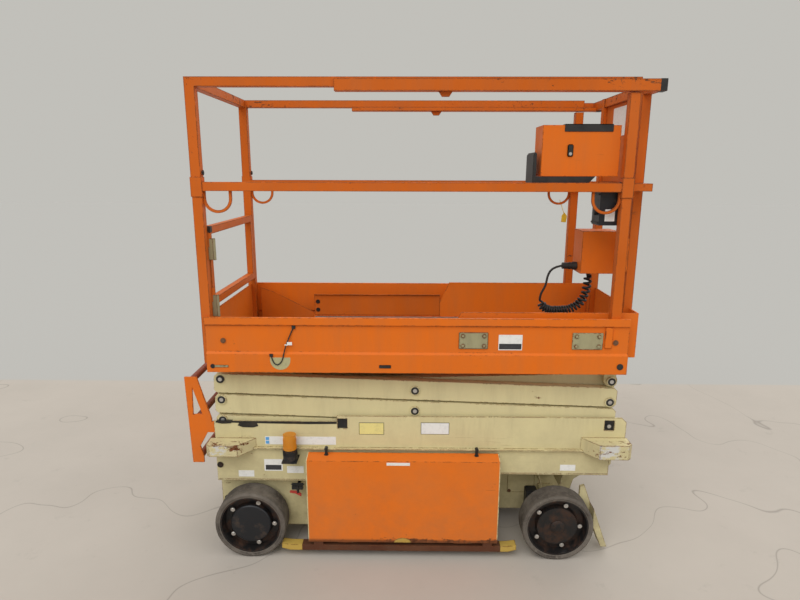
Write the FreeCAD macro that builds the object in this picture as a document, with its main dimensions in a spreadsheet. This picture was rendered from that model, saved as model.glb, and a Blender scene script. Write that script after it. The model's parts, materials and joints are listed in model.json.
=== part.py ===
import FreeCAD, Part
import math
import os
import re
import sys

import Sketcher

# Electric scissor lift with a sliding deck extension, in millimetres.
# The origin is on the ground under the middle of the overall box.
# +X is the steered front end, -Y is the near side, +Z is up.
# Widths across the machine are half-widths, measured from its middle plane.

SIZES = (
    # alias, value, what it is
    ("chassis_rear", -823, "rear face of the chassis"),
    ("chassis_front", 932, "front face of the upper channels"),
    ("nose_front", 890, "front face of the centre box between the front wheels"),
    ("channel_face", 305, "half-width over the upper channels"),
    ("channel_wall", 6, "wall of the upper channels"),
    ("channel_top", 632, "top edge of the upper channels"),
    ("channel_low_top", 606, "top edge of the channels behind their step"),
    ("channel_base", 482, "lower edge of the upper channels"),
    ("channel_step_x", -297, "where the channels step down"),
    ("lip_height", 5, "thickness of that lip"),
    ("channel_end", 872, "front end of the floor, walls and lips"),
    ("port_rear", -295, "rear edge of the rear tie-down port"),
    ("port_front", 840, "rear edge of the front tie-down port"),
    ("port_length", 42, "length of a tie-down port"),
    ("port_height", 46, "height of a tie-down port"),
    ("port_drop", 12, "how far the ports lie under the channel's top"),
    ("channel_lip", 14, "width of the outward lip under each channel"),
    ("plate", 6, "thickness of the chassis plates"),
    ("floor_top", 372, "top of the floor under the arms"),
    ("rear_box_inset", 43, "how far the box between the rear wheels lies inside the channels"),
    ("nose_half", 118, "half-width of the box between the front wheels"),
    ("box_base", 180, "underside of the boxes between the wheels"),
    ("bay_rear", -420, "rear wall of the side bays"),
    ("bay_front", 392, "front wall of the side bays"),
    ("bay_base", 92, "underside of the side bays"),
    ("spine_half", 24, "half-width of the closed spine between the bays"),
    ("bumper_face", 380, "half-width over the corner bumpers"),
    ("bumper_base", 477, "underside of the corner bumpers"),
    ("bumper_top", 541, "top of the front bumpers at their outer edge"),
    ("bumper_length", 133, "length of a corner bumper"),
    ("bumper_front", 938, "front face of the front bumpers"),
    ("bumper_rear", -841, "rear face of the rear bumpers"),
    ("bumper_step", 14, "how much lower the rear bumpers are"),
    ("bumper_wall", 8, "wall of the corner bumpers"),
    ("bumper_flare", 60, "how far a bumper runs out along the channel"),
    ("bumper_chamfer", 14, "cut corner of a bumper at the machine's end"),
    ("end_plate_base", 84, "underside of the plates beside the wheels"),
    ("drive_port_rear", 484, "rear edge of the opening to the drive"),
    ("drive_port_length", 112, "length of that opening"),
    ("drive_port_base", 177, "lower edge of that opening"),
    ("drive_port_height", 96, "height of that opening"),
    ("skid_rear", -540, "rear tip of a skid bar"),
    ("skid_front", 478, "front tip of a skid bar"),
    ("skid_base", 34, "underside of a skid bar"),
    ("skid_height", 26, "height of a skid bar"),
    ("skid_width", 40, "width of a skid bar"),
    ("cover_face", 378, "half-width over the side covers"),
    ("cover_wall", 4, "wall of a side cover"),
    ("cover_base", 78, "lower edge of a side cover"),
    ("cover_brow", 461, "height of a cover's front edge"),
    ("cover_top", 472, "height of a cover's back edge"),
    ("cover_back", 320, "half-width at a cover's back edge"),
    ("cover_hinge_radius", 4, "barrels of a cover's hinges"),
    ("cover_hinge_length", 60, "length of those barrels"),
    ("cover_hinge_x", 250, "distance of those barrels from the middle of the bay"),
    ("hinge_lug", 18, "width of the lugs beside those barrels"),
    ("cover_overlap", 3, "how far a cover reaches past its bay at each end"),
    ("battery_height", 240, "height of the battery block"),
    ("battery_gap", 30, "room round the battery block"),
    # wheels
    ("wheel_rear_x", -673, "rear axle"),
    ("wheel_front_x", 653, "front axle"),
    ("tyre_radius", 152.5, "outside of the tyres"),
    ("tyre_width", 100, "width of the tyres"),
    ("tyre_shoulder", 9, "rounding of the tyre shoulders"),
    ("rim_radius", 131, "outside of the rims"),
    ("wheel_face", 380, "half-width over the wheels"),
    ("axle_radius", 20, "axle stubs in the wheels"),
    ("axle_tube_radius", 27, "rear axle tube"),
    ("knuckle_room", 58, "from a wheel's inner face to its kingpin"),
    ("beam_half", 34, "half-length of the kingpin beams along the machine"),
    ("beam_height", 16, "thickness of the kingpin beams"),
    ("drive_half", 60, "half-length of the block between the kingpin beams"),
    ("nose_plate_base", 310, "lower edge of the plate at the front of the nose"),
    ("kingpin_radius", 16, "kingpins"),
    ("knuckle_half_height", 46, "half-height of a steering knuckle"),
    ("running_gap", 0.3, "clearance of a pin in its hole"),
    ("seat_gap", 0.3, "clearance between pieces that rest on each other"),
    # arms
    ("arm_span", 1650, "pin to pin length of an arm"),
    ("level_pitch", 92, "height of one level when lowered"),
    ("first_pin", 421, "height of the lowest pins"),
    ("arm_depth", 84, "depth of an arm tube"),
    ("arm_wall", 5, "wall of an arm tube"),
    ("arm_end", 28, "how far an arm tube reaches past its end pins"),
    ("arm_corner", 12, "bevel on an arm tube's end corners"),
    ("pin_offset", 20, "how far the end pins lie off an arm tube's middle line"),
    ("arm_mid_x", 35, "middle of the arm stack when lowered"),
    ("outer_arm_face", 288, "half-width over the outer arms"),
    ("arm_thick", 36, "thickness of an arm"),
    ("arm_gap", 6, "gap between outer and inner arms"),
    ("pin_radius", 16, "arm pins"),
    ("pin_head", 6, "thickness of a pin's head"),
    ("pin_head_radius", 21, "radius of a pin's head"),
    ("tie_radius", 24, "cross tubes between the inner arms"),
    ("roller_radius", 28, "rollers at the sliding ends"),
    ("roller_width", 26, "width of a roller"),
    ("ram_radius", 45, "lift cylinder barrel"),
    ("ram_rod_radius", 25, "lift cylinder rod"),
    ("tie_inset", 58, "from an arm's end pins to the cross tubes near them"),
    ("ram_offset", 600, "from the third level's middle to the lift cylinder's upper pin"),
    ("ram_tube_inset", 60, "from the upper pin to the cross tube that carries its ears, along the arm"),
    ("ram_tube_lift", 55, "height of that cross tube over the upper pin"),
    ("ram_tube_radius", 22, "cross tube that carries the upper pin's ears"),
    ("ram_ear_wall", 10, "thickness of the upper pin's ears"),
    ("ear_wall", 24, "thickness of the fixed pivots' ears"),
    ("pivot_ear_radius", 28, "ears round the fixed pivots"),
    ("ram_ear_gap", 56, "gap between the ears of a cylinder mount"),
    ("ram_pin_radius", 14, "upper pin of the lift cylinder"),
    ("ram_eye_radius", 40, "lower eye of the lift cylinder, round the front cross tube"),
    ("ram_rod_eye_radius", 28, "upper eye of the lift cylinder"),
    ("ram_neck", 64, "from the lower pin to the barrel"),
    ("ram_neck_radius", 24, "stalk between the lower eye and the barrel"),
    ("ram_base", 60, "solid length at the barrel's closed end"),
    ("ram_head", 130, "from the barrel's open end to the upper pin"),
    ("ram_play", 30, "from the bottom of the bore to the rod"),
    # platform
    ("deck_rear", -810, "rear edge of the platform"),
    ("deck_front", 884, "front edge of the platform"),
    ("deck_top", 885, "standing surface"),
    ("deck_plate", 5, "thickness of the deck plate"),
    ("fascia_face", 374, "half-width over the lower fascia"),
    ("fascia_wall", 4, "wall of the fascia"),
    ("fascia_base", 850, "lower edge of the fascia"),
    ("fascia_rise", 42, "how far the lower fascia stands above the deck"),
    ("toe_height", 194, "height of the toe boards above the deck"),
    ("toe_lip", 30, "height of the lip on the toe boards"),
    ("toe_recess", 8, "how far the toe boards lie behind the fascia"),
    ("rail_rise", 377, "top of the guard rails over the middle rails"),
    ("rail_face", 361.5, "half-width over the guard rails"),
    ("rail_size", 32, "width of a rail tube"),
    ("rail_height", 34, "height of a rail tube"),
    ("post_width", 38, "width of a post along the machine"),
    ("mid_rail_top", 1606, "top of the middle rails"),
    ("post_rear", -823, "rear face of the rear posts"),
    ("post_front", 848, "front face of the front posts"),
    ("collar_base", 1550, "lower end of the post collars"),
    ("collar_height", 74, "height of the post collars"),
    ("collar_wall", 3, "wall of the post collars"),
    ("loop_depth", 84, "depth of a hand loop under the middle rail"),
    ("loop_width", 112, "width of a hand loop"),
    ("loop_bar", 11, "bar width of a hand loop"),
    ("loop_thick", 8, "thickness of a hand loop"),
    # gate
    ("gate_top", 1432, "top of the entry gate"),
    ("gate_base", 1112, "bottom of the entry gate"),
    ("gate_tube", 30, "tube of the entry gate"),
    ("gate_gap", 10, "gap between the gate and the posts"),
    ("hinge_radius", 8, "barrels of the gate's hinges"),
    # extension
    ("extension_rear", -483, "rear edge of the extension deck"),
    ("extension_front", 931, "front edge of the extension deck"),
    ("extension_lift", 22, "how far the extension deck lies above the deck"),
    ("extension_half", 324, "half-width of the extension deck"),
    ("extension_low_top", 985, "top of the low side plates"),
    ("extension_toe_top", 1093, "top of the extension's toe boards"),
    ("extension_toe_x", 217, "where the extension's toe boards start"),
    ("extension_wall", 5, "wall of the extension's plates"),
    ("sleeve_rear", -272, "rear end of the sliding top rails"),
    ("sleeve_front", 937, "front end of the sliding top rails"),
    ("sleeve_drop", 15, "how far the sliding top rails reach below the fixed ones"),
    ("sleeve_height", 42, "height of the sliding top rails"),
    ("sleeve_wall", 4, "wall of the sliding top rails"),
    ("post_clear", 5, "gap between a front post and the sliding rail above it"),
    ("pad_length", 40, "length of the guide pads in the sliding top rails"),
    ("tab_x", 137, "middle of the tabs under the sliding top rails"),
    ("tab_half", 27, "half-length of a tab where it meets its rail"),
    ("tab_drop", 19, "how far a tab hangs down"),
    ("tab_wall", 6, "thickness of a tab"),
    ("sleeve_clear", 3, "gap between sliding and fixed top rails"),
    ("front_post_half", 236, "half-width over the extension's posts"),
    ("front_post_size", 36, "size of the extension's posts"),
    ("inner_rail_half", 325, "half-width over the extension's middle rails"),
    ("inner_rail_rear", -160, "rear end of the extension's middle rails"),
    # boxes on the extension
    ("case_rear", 507, "rear face of the control case"),
    ("case_front", 800, "front face of the control case"),
    ("case_rise", 24, "underside of the control case over the middle rails"),
    ("case_height", 188, "height of the control case"),
    ("case_half_out", 322, "half-width at the case's door"),
    ("case_half_in", 200, "half-width at the case's back"),
    ("case_wall", 3, "wall of the control case"),
    ("socket_rear", 735, "rear face of the socket box"),
    ("socket_front", 886, "front face of the socket box"),
    ("socket_base", 1225, "underside of the socket box"),
    ("socket_top", 1405, "top of the socket box"),
    ("socket_near", 160, "the socket box's near face, from the middle plane"),
    ("socket_far", 40, "the socket box's far face, from the middle plane"),
    ("plug_half", 100, "the plug's distance from the middle plane"),
    ("plug_z", 1250, "height of the plug"),
    ("plug_length", 62, "length of the plug"),
    ("plug_radius", 14, "radius of the plug"),
    ("console_rear", 741, "rear face of the console"),
    ("console_length", 92, "length of the console"),
    ("console_width", 86, "width of the console"),
    ("console_height", 130, "height of the console"),
    ("cable_diameter", 9, "the control cable where it is straight"),
    ("fascia_cable", 5, "diameter of the cable on the near fascia"),
    ("curl_diameter", 34, "outside of the control cable's curls"),
    # ladder
    ("ladder_rear", -938, "rear face of the ladder"),
    ("ladder_half", 300, "half-width of the ladder"),
    ("ladder_wall", 8, "thickness of the ladder's sides"),
    ("ladder_top", 800, "top of the ladder"),
    ("ladder_base", 409, "foot of the ladder"),
    ("rung_radius", 13, "ladder rungs"),
    # beacon
    ("beacon_x", -493, "middle of the beacon"),
    ("beacon_half", 348, "beacon's distance from the middle plane"),
    ("beacon_base", 452, "underside of the beacon"),
    ("beacon_top", 566, "top of the beacon"),
    ("beacon_radius", 30, "beacon"),
)

doc = FreeCAD.newDocument("scissor_lift")
sheet = doc.addObject("Spreadsheet::Sheet", "sizes")
VALUE = {}
for row, (alias, number, note) in enumerate(SIZES, start=1):
    sheet.set(f"A{row}", note)
    sheet.set(f"B{row}", str(number))
    sheet.setAlias(f"B{row}", alias)
    VALUE[alias] = float(number)
doc.recompute()

SIDES = (("near", -1), ("far", 1))
PARTS = []
NEAR, FAR = -1, 1


def linked(text):
    """An expression in which every size name points at the sheet."""
    swap = lambda word: f"sizes.{word.group()}" if word.group() in VALUE else word.group()
    return re.sub(r"[A-Za-z_]\w*", swap, str(text))


def bind(item, **fields):
    """Tie properties of an object to expressions of the sheet's sizes."""
    for name, text in fields.items():
        item.setExpression(name, linked(text))
    return item


def place(item, x="0", y="0", z="0"):
    """Tie an object's position to the sheet."""
    for axis, text in zip("xyz", (x, y, z)):
        item.setExpression(f"Placement.Base.{axis}", linked(text))
    return item


def turn(item, axis, angle):
    """Turn an object about an axis through its own base point."""
    item.Placement.Rotation = FreeCAD.Rotation(FreeCAD.Vector(*axis), 1)
    item.setExpression("Placement.Rotation.Angle", linked(angle))
    return item


def box(x, y, z):
    """A box between two expressions along each axis."""
    item = doc.addObject("Part::Box", "box")
    bind(item, Length=f"({x[1]}) - ({x[0]})", Width=f"({y[1]}) - ({y[0]})", Height=f"({z[1]}) - ({z[0]})")
    return place(item, x[0], y[0], z[0])


def side_box(side, x, half, z):
    """A box between two half-widths on the near or the far side."""
    inner, outer = half
    y = (f"-({outer})", f"-({inner})") if side == NEAR else (inner, outer)
    return box(x, y, z)


def bar(radius, x, y, z, along="y"):
    """A round bar; the axis it lies along has two expressions, the others one."""
    item = doc.addObject("Part::Cylinder", "bar")
    if along == "y":
        item.Placement.Rotation = FreeCAD.Rotation(FreeCAD.Vector(1, 0, 0), -90)
        bind(item, Radius=radius, Height=f"({y[1]}) - ({y[0]})")
        return place(item, x, y[0], z)
    if along == "x":
        item.Placement.Rotation = FreeCAD.Rotation(FreeCAD.Vector(0, 1, 0), 90)
        bind(item, Radius=radius, Height=f"({x[1]}) - ({x[0]})")
        return place(item, x[0], y, z)
    bind(item, Radius=radius, Height=f"({z[1]}) - ({z[0]})")
    return place(item, x, y, z[0])


def side_bar(side, radius, x, half, z):
    """A round bar across the machine between two half-widths of one side."""
    inner, outer = half
    y = (f"-({outer})", f"-({inner})") if side == NEAR else (inner, outer)
    return bar(radius, x, y, z)


def outline(points, plane):
    """A closed sketch whose corners are tied to the sheet, in the xz, yz or xy plane."""
    probe = doc.addObject("App::FeaturePython", "probe")
    corners = []
    for point in points:
        place_values = []
        for text in point:
            place_values.append(float(probe.evalExpression(linked(text))))
        corners.append(FreeCAD.Vector(place_values[0], place_values[1], 0))
    doc.removeObject(probe.Name)
    sketch = doc.addObject("Sketcher::SketchObject", "outline")
    total = len(corners)
    for index in range(total):
        sketch.addGeometry(Part.LineSegment(corners[index], corners[(index + 1) % total]), False)
    for index in range(total):
        sketch.addConstraint(Sketcher.Constraint("Coincident", index, 2, (index + 1) % total, 1))
    for index, (point, corner) in enumerate(zip(points, corners)):
        for kind, text, number in (("DistanceX", point[0], corner.x), ("DistanceY", point[1], corner.y)):
            rule = sketch.addConstraint(Sketcher.Constraint(kind, -1, 1, index, 1, number))
            sketch.setExpression(f"Constraints[{rule}]", linked(text))
    if plane == "xz":
        sketch.Placement.Rotation = FreeCAD.Rotation(FreeCAD.Vector(1, 0, 0), 90)
    elif plane == "yz":
        sketch.Placement.Rotation = FreeCAD.Rotation(FreeCAD.Vector(1, 1, 1), 120)
    return sketch


def prism(points, plane, span):
    """An outline in the xz, yz or xy plane, run along the third axis."""
    third = {"xz": "y", "yz": "x", "xy": "z"}[plane]
    item = doc.addObject("Part::Extrusion", "prism")
    item.Base = outline(points, plane)
    item.DirMode = "Custom"
    item.Dir = FreeCAD.Vector(*[float(axis == third) for axis in "xyz"])
    item.Solid = True
    bind(item, LengthFwd=f"({span[1]}) - ({span[0]})")
    item.setExpression(f"Placement.Base.{third}", linked(span[0]))
    return item


def side_prism(side, points, half):
    """An outline in the xz plane between two half-widths of one side."""
    inner, outer = half
    return prism(points, "xz", (f"-({outer})", f"-({inner})") if side == NEAR else (inner, outer))


def mirrored(side, points):
    """Points of a cross-section, written for the far side, on the wanted side."""
    return [(f"{side} * ({y})", z) for y, z in points]


def fuse(items):
    """One shape out of several."""
    if len(items) == 1:
        return items[0]
    item = doc.addObject("Part::MultiFuse", "fused")
    item.Shapes = items
    item.Refine = True
    return item


def cut(base, tools):
    """A shape less one or more others."""
    item = doc.addObject("Part::Cut", "cut")
    item.Base = base
    item.Tool = fuse(tools)
    item.Refine = True
    return item


def part(label, item):
    """Give a finished sub-part its name and list it for export."""
    item.Label = label
    PARTS.append(item)
    return item


def turned_ring(points, x, half_mid, z):
    """A ring revolved about a cross axis, from (radius, offset) points; a Part::Feature."""
    wire = Part.makePolygon([FreeCAD.Vector(radius, offset, 0) for radius, offset in points + points[:1]])
    solid = Part.Face(wire).revolve(FreeCAD.Vector(0, 0, 0), FreeCAD.Vector(0, 1, 0), 360)
    item = doc.addObject("Part::Feature", "ring")
    item.Shape = solid
    item.Placement.Base = FreeCAD.Vector(x, half_mid, z)
    return item


# Chassis: two upper channels, a floor under the arms, a wide box between the rear wheels,
# bays at each side and a narrow box between the steered front wheels.

CHANNEL_INNER = "channel_face - channel_wall"
REAR_BOX_HALF = "(channel_face - rear_box_inset)"
FASCIA_RIDGE = "(deck_top + fascia_rise)"
TOE_TOP = "(deck_top + toe_height)"
RAIL_TOP = "(mid_rail_top + rail_rise)"
SLEEVE_BASE = f"({RAIL_TOP} - rail_height - sleeve_drop)"
SLEEVE_TOP = f"({SLEEVE_BASE} + sleeve_height)"
CASE_BASE = "(mid_rail_top + case_rise)"
CASE_TOP = f"({CASE_BASE} + case_height)"
KINGPIN_HALF = "(wheel_face - tyre_width - knuckle_room)"
COVER_HINGES = ("(bay_rear + bay_front) / 2 - cover_hinge_x", "(bay_rear + bay_front) / 2 + cover_hinge_x")
BAY_HALF = "cover_face - cover_wall - seat_gap"
PIVOT_X = "arm_mid_x + arm_span / 2 * cos(asin(level_pitch / arm_span))"
CHANNEL_POINTS = [
    ("chassis_rear", "channel_base"), ("chassis_front - 40", "channel_base"),
    ("chassis_front", "channel_base + 36"), ("chassis_front", "channel_top - 20"),
    ("chassis_front - 20", "channel_top"), ("channel_step_x", "channel_top"),
    ("channel_step_x", "channel_low_top"), ("chassis_rear", "channel_low_top"),
]
SHELF_Z = "2 * tyre_radius + 22"
REAR_PLATE_POINTS = [
    ("chassis_rear", "box_base"), ("chassis_rear + 70", "end_plate_base"), ("bay_rear", "end_plate_base"),
    ("bay_rear", "floor_top"), ("chassis_rear", "floor_top"),
]
NOSE_PLATE_POINTS = [
    ("bay_front", "end_plate_base"), ("wheel_front_x + 90", "end_plate_base"),
    ("wheel_front_x + 116", "box_base"), ("nose_front - 105", "box_base + 60"),
    ("nose_front", "box_base + 130"), ("nose_front", "floor_top"), ("bay_front", "floor_top"),
]


def build_side_channel(name, side):
    """One upper channel with its wall, roller track and corner bumpers."""
    channel = side_prism(side, CHANNEL_POINTS, (CHANNEL_INNER, "channel_face"))
    lip = side_box(
        side, ("chassis_rear", "channel_end"), ("channel_face", "channel_face + channel_lip"),
        ("channel_base", "channel_base + lip_height"))
    ports = [
        side_box(side, ("port_rear", "port_rear + port_length"), (f"{CHANNEL_INNER} - 1", "channel_face + 1"),
                 ("channel_top - port_drop - port_height", "channel_top - port_drop")),
        side_box(side, ("port_front", "port_front + port_length"), (f"{CHANNEL_INNER} - 1", "channel_face + 1"),
                 ("channel_top - port_drop - port_height", "channel_top - port_drop"))]
    solids = [cut(fuse([channel, lip]), ports)]
    # walls that carry the channel on the floor, and over the rear wheels
    solids.append(side_box(
        side, ("chassis_rear", "bay_rear"), (CHANNEL_INNER, "channel_face"), (f"{SHELF_Z} + plate", "channel_base")))
    solids.append(side_box(
        side, ("bay_rear", "channel_end"), (CHANNEL_INNER, "channel_face"), ("floor_top", "channel_base")))
    track = "first_pin - roller_radius - seat_gap"
    solids.append(side_box(
        side, ("chassis_rear", "arm_mid_x"), ("outer_arm_face - arm_thick", CHANNEL_INNER),
        (f"{track} - plate", track)))
    for low, high, top, tip, sign in (
            ("bumper_front - bumper_length", "bumper_front", "bumper_top", "bumper_front", "-"),
            ("bumper_rear", "bumper_rear + bumper_length", "bumper_top - bumper_step", "bumper_rear", "+")):
        plan = [
            (tip, "channel_face"), (tip, "bumper_face - bumper_chamfer"),
            (f"{tip} {sign} bumper_chamfer", "bumper_face"), (f"{tip} {sign} bumper_length", "bumper_face"),
            (f"{tip} {sign} bumper_length {sign} bumper_flare", "channel_face"),
        ]
        block = prism([(x, f"{side} * ({y})") for x, y in plan], "xy", ("bumper_base", top))
        pocket = side_box(
            side, (f"{low} + bumper_wall", f"{high} - bumper_wall"),
            ("channel_face + bumper_wall", "bumper_face - bumper_wall"),
            ("bumper_base - 1", f"{top} - bumper_wall"))
        solids.append(cut(block, [pocket]))
    part(f"side_channel_{name}", fuse(solids))


def build_chassis():
    """The welded frame: floor, side bays, end boxes, pivot ears and kingpin beams."""
    solids = []
    for name, side in SIDES:
        build_side_channel(name, side)
        solids.append(side_prism(side, REAR_PLATE_POINTS, (f"{REAR_BOX_HALF} - plate", REAR_BOX_HALF)))
        drive_port = side_box(
            side, ("drive_port_rear", "drive_port_rear + drive_port_length"),
            ("nose_half - plate - 1", "nose_half + 1"),
            ("drive_port_base", "drive_port_base + drive_port_height"))
        nose_plate = side_prism(side, NOSE_PLATE_POINTS, ("nose_half - plate", "nose_half"))
        solids.append(cut(nose_plate, [drive_port]))
        solids.append(side_box(
            side, ("chassis_rear", "bay_rear"), (f"{REAR_BOX_HALF} - plate", "channel_face"),
            (SHELF_Z, f"{SHELF_Z} + plate")))
        # bay floor and walls
        solids.append(side_box(
            side, ("bay_rear", "bay_front"), ("spine_half", BAY_HALF), ("bay_base", "bay_base + plate")))
        solids.append(side_box(
            side, ("bay_rear", "bay_front"), ("spine_half - plate", "spine_half"), ("bay_base", "floor_top")))
        for low, high in (("bay_rear", "bay_rear + plate"), ("bay_front - plate", "bay_front")):
            solids.append(side_box(side, (low, high), ("spine_half", BAY_HALF), ("bay_base", "floor_top")))
        for x in COVER_HINGES:
            lug = f"{x} + cover_hinge_length / 2 + seat_gap"
            solids.append(side_box(
                side, (lug, f"{lug} + hinge_lug"), ("cover_face - 2 * cover_hinge_radius", BAY_HALF),
                ("cover_base - cover_hinge_radius", "bay_base")))
        # fixed pivot ears of the lowest outer arms
        ear_in = "outer_arm_face - arm_thick - arm_gap - ear_wall"
        ear_out = "outer_arm_face - arm_thick - arm_gap"
        solids.append(side_box(
            side, (f"{PIVOT_X} - pivot_ear_radius", f"{PIVOT_X} + pivot_ear_radius"), (ear_in, ear_out),
            ("floor_top", "first_pin")))
        solids.append(side_bar(side, "pivot_ear_radius", PIVOT_X, (ear_in, ear_out), "first_pin"))
        solids.append(side_bar(side, "pin_radius", PIVOT_X, (ear_in, CHANNEL_INNER), "first_pin"))
    # floor under the arms, end plates and kingpin beams
    solids.append(box(
        ("chassis_rear", "bay_rear"), (f"-({CHANNEL_INNER})", CHANNEL_INNER), ("floor_top - plate", "floor_top")))
    solids.append(box(
        ("bay_rear", "channel_end"), ("-channel_face", "channel_face"), ("floor_top - plate", "floor_top")))
    solids.append(box(
        ("bay_rear", "bay_front"), (f"-({BAY_HALF})", BAY_HALF), ("floor_top - plate", "floor_top")))
    solids.append(box(
        ("chassis_rear", "chassis_rear + plate"), (f"-{REAR_BOX_HALF}", REAR_BOX_HALF),
        ("box_base", "floor_top")))
    solids.append(box(
        ("nose_front - plate", "nose_front"), ("-nose_half", "nose_half"), ("nose_plate_base", "floor_top")))
    for height in ("tyre_radius + knuckle_half_height + seat_gap",
                   "tyre_radius - knuckle_half_height - seat_gap - beam_height"):
        top = f"{height} + beam_height"
        beam = box(
            ("wheel_front_x - beam_half", "wheel_front_x + beam_half"), (f"-{KINGPIN_HALF}", KINGPIN_HALF),
            (height, top))
        eyes = [bar("beam_half", "wheel_front_x", f"{side} * {KINGPIN_HALF}", (height, top), "z")
                for _, side in SIDES]
        holes = [bar("kingpin_radius + running_gap", "wheel_front_x", f"{side} * {KINGPIN_HALF}",
                     (f"{height} - 1", f"{top} + 1"), "z") for _, side in SIDES]
        solids.append(cut(fuse([beam] + eyes), holes))
    solids.append(box(
        ("wheel_front_x - drive_half", "wheel_front_x + drive_half"), ("-nose_half + plate", "nose_half - plate"),
        ("tyre_radius - knuckle_half_height - seat_gap", "tyre_radius + knuckle_half_height + seat_gap")))
    axle_hole = bar(
        "axle_tube_radius + running_gap", "wheel_rear_x", (f"-{REAR_BOX_HALF} - 1", f"{REAR_BOX_HALF} + 1"),
        "tyre_radius")
    part("chassis_frame", cut(fuse(solids), [axle_hole]))


def build_running_gear():
    """Axles, knuckles, rims and tyres."""
    axle = [bar("axle_tube_radius", "wheel_rear_x", (f"-{REAR_BOX_HALF} - 8", f"{REAR_BOX_HALF} + 8"), "tyre_radius"),
            bar("axle_radius", "wheel_rear_x", ("-wheel_face + 40", "wheel_face - 40"), "tyre_radius")]
    part("rear_axle", fuse(axle))
    for name, side in SIDES:
        block = side_box(
            side, ("wheel_front_x - 26", "wheel_front_x + 26"), (f"{KINGPIN_HALF} - 26", f"{KINGPIN_HALF} + 34"),
            ("tyre_radius - knuckle_half_height", "tyre_radius + knuckle_half_height"))
        pin = bar(
            "kingpin_radius", "wheel_front_x", f"{side} * {KINGPIN_HALF}",
            ("tyre_radius - knuckle_half_height - 22", "tyre_radius + knuckle_half_height + 22"), "z")
        stub = side_bar(side, "axle_radius", "wheel_front_x", (KINGPIN_HALF, "wheel_face - 40"), "tyre_radius")
        # guard that leans over the floor ahead of the tyre
        bracket = side_box(
            side, ("wheel_front_x", "wheel_front_x + 148"), (f"{KINGPIN_HALF} + 22", f"{KINGPIN_HALF} + 34"),
            ("tyre_radius + 20", "tyre_radius + knuckle_half_height"))
        blade = side_prism(side, [
            ("wheel_front_x + 120", "tyre_radius + 130"), ("wheel_front_x + 140", "tyre_radius + 136"),
            ("wheel_front_x + 238", "22"), ("wheel_front_x + 212", "22"),
            ("wheel_front_x + 150", "tyre_radius + 20"), ("wheel_front_x + 120", "tyre_radius + 20"),
        ], (f"{KINGPIN_HALF} + 22", f"{KINGPIN_HALF} + 92"))
        hollow = side_box(
            side, ("wheel_front_x", "wheel_front_x + 170"), (f"{KINGPIN_HALF} + 34", f"{KINGPIN_HALF} + 93"),
            ("tyre_radius - 20", "tyre_radius + 137"))
        part(f"knuckle_{name}", fuse([block, pin, stub, bracket, cut(blade, [hollow])]))
    rim, tyre, width = VALUE["rim_radius"], VALUE["tyre_radius"], VALUE["tyre_width"]
    shoulder, gap = VALUE["tyre_shoulder"], VALUE["seat_gap"]
    bore = VALUE["axle_radius"] + VALUE["running_gap"]
    for end, x in (("rear", VALUE["wheel_rear_x"]), ("front", VALUE["wheel_front_x"])):
        for name, side in SIDES:
            middle = side * (VALUE["wheel_face"] - width / 2)
            half = width / 2
            tyre_points = [
                (rim + gap, -half + 4), (tyre - shoulder, -half), (tyre - 2.5, -half + 3),
                (tyre, -half + shoulder), (tyre, half - shoulder), (tyre - 2.5, half - 3),
                (tyre - shoulder, half), (rim + gap, half - 4)]
            part(f"tyre_{end}_{name}", turned_ring(tyre_points, x, middle, tyre))
            disc = [(bore, -36), (44, -36), (52, -8), (rim - 14, -8), (rim - 6, -half + 6), (rim, -half + 6),
                    (rim, half - 6), (rim - 6, half - 6), (rim - 14, 8), (92, 8), (86, 30), (bore, 34)]
            disc = [(radius, offset * side) for radius, offset in disc]
            part(f"rim_{end}_{name}", turned_ring(disc, x, middle, tyre))


# Scissor arms. Outer arms fall to the front, inner arms fall to the rear.

LEVELS = (1, 2, 3, 4)
REST_ANGLE = "asin(level_pitch / arm_span)"
OUTER = ("outer_arm_face - arm_thick", "outer_arm_face")
INNER = ("outer_arm_face - 2 * arm_thick - arm_gap", "outer_arm_face - arm_thick - arm_gap")
BLOCK = 62
REACH = "arm_span / 2"


def level_height(level):
    """The height of a level's centre pins."""
    return f"first_pin + level_pitch * ({level} - 0.5)"


def arm(side, half, direction, holes):
    """One closed arm tube about the origin, solid round its pins; its end pins lie off its middle line."""
    end, top = f"({REACH} + arm_end)", "arm_depth / 2"
    corners = []
    for x_sign, first in (("", -1), ("", 1), ("-", 1), ("-", -1)):
        points = [(f"{x_sign}({end} - arm_corner)", f"{first} * {top}"),
                  (f"{x_sign}{end}", f"{first} * ({top} - arm_corner)")]
        corners.extend(points if (x_sign == "") == (first == -1) else points[::-1])
    inner = f"{half[0]} + arm_wall", f"{half[1]} - arm_wall"
    hollows = [side_box(side, span, inner, ("-arm_depth / 2 + arm_wall", "arm_depth / 2 - arm_wall"))
               for span in ((f"-({REACH}) + {BLOCK}", f"-{BLOCK}"), (f"{BLOCK}", f"{REACH} - {BLOCK}"))]
    tube = cut(side_prism(side, corners, half), hollows)
    turn(tube, (0, -direction, 0), "asin(2 * pin_offset / arm_span)")
    if not holes:
        return tube
    return cut(tube, [side_bar(side, "pin_radius + running_gap", x, (f"{half[0]} - 1", f"{half[1]} + 1"), "0")
                      for x in holes])


def at_level(item, level, direction):
    """Lean a finished pair of arms to its rest angle and lift it to its level."""
    turn(item, (0, direction, 0), REST_ANGLE)
    return place(item, "arm_mid_x", "0", level_height(level))


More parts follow.
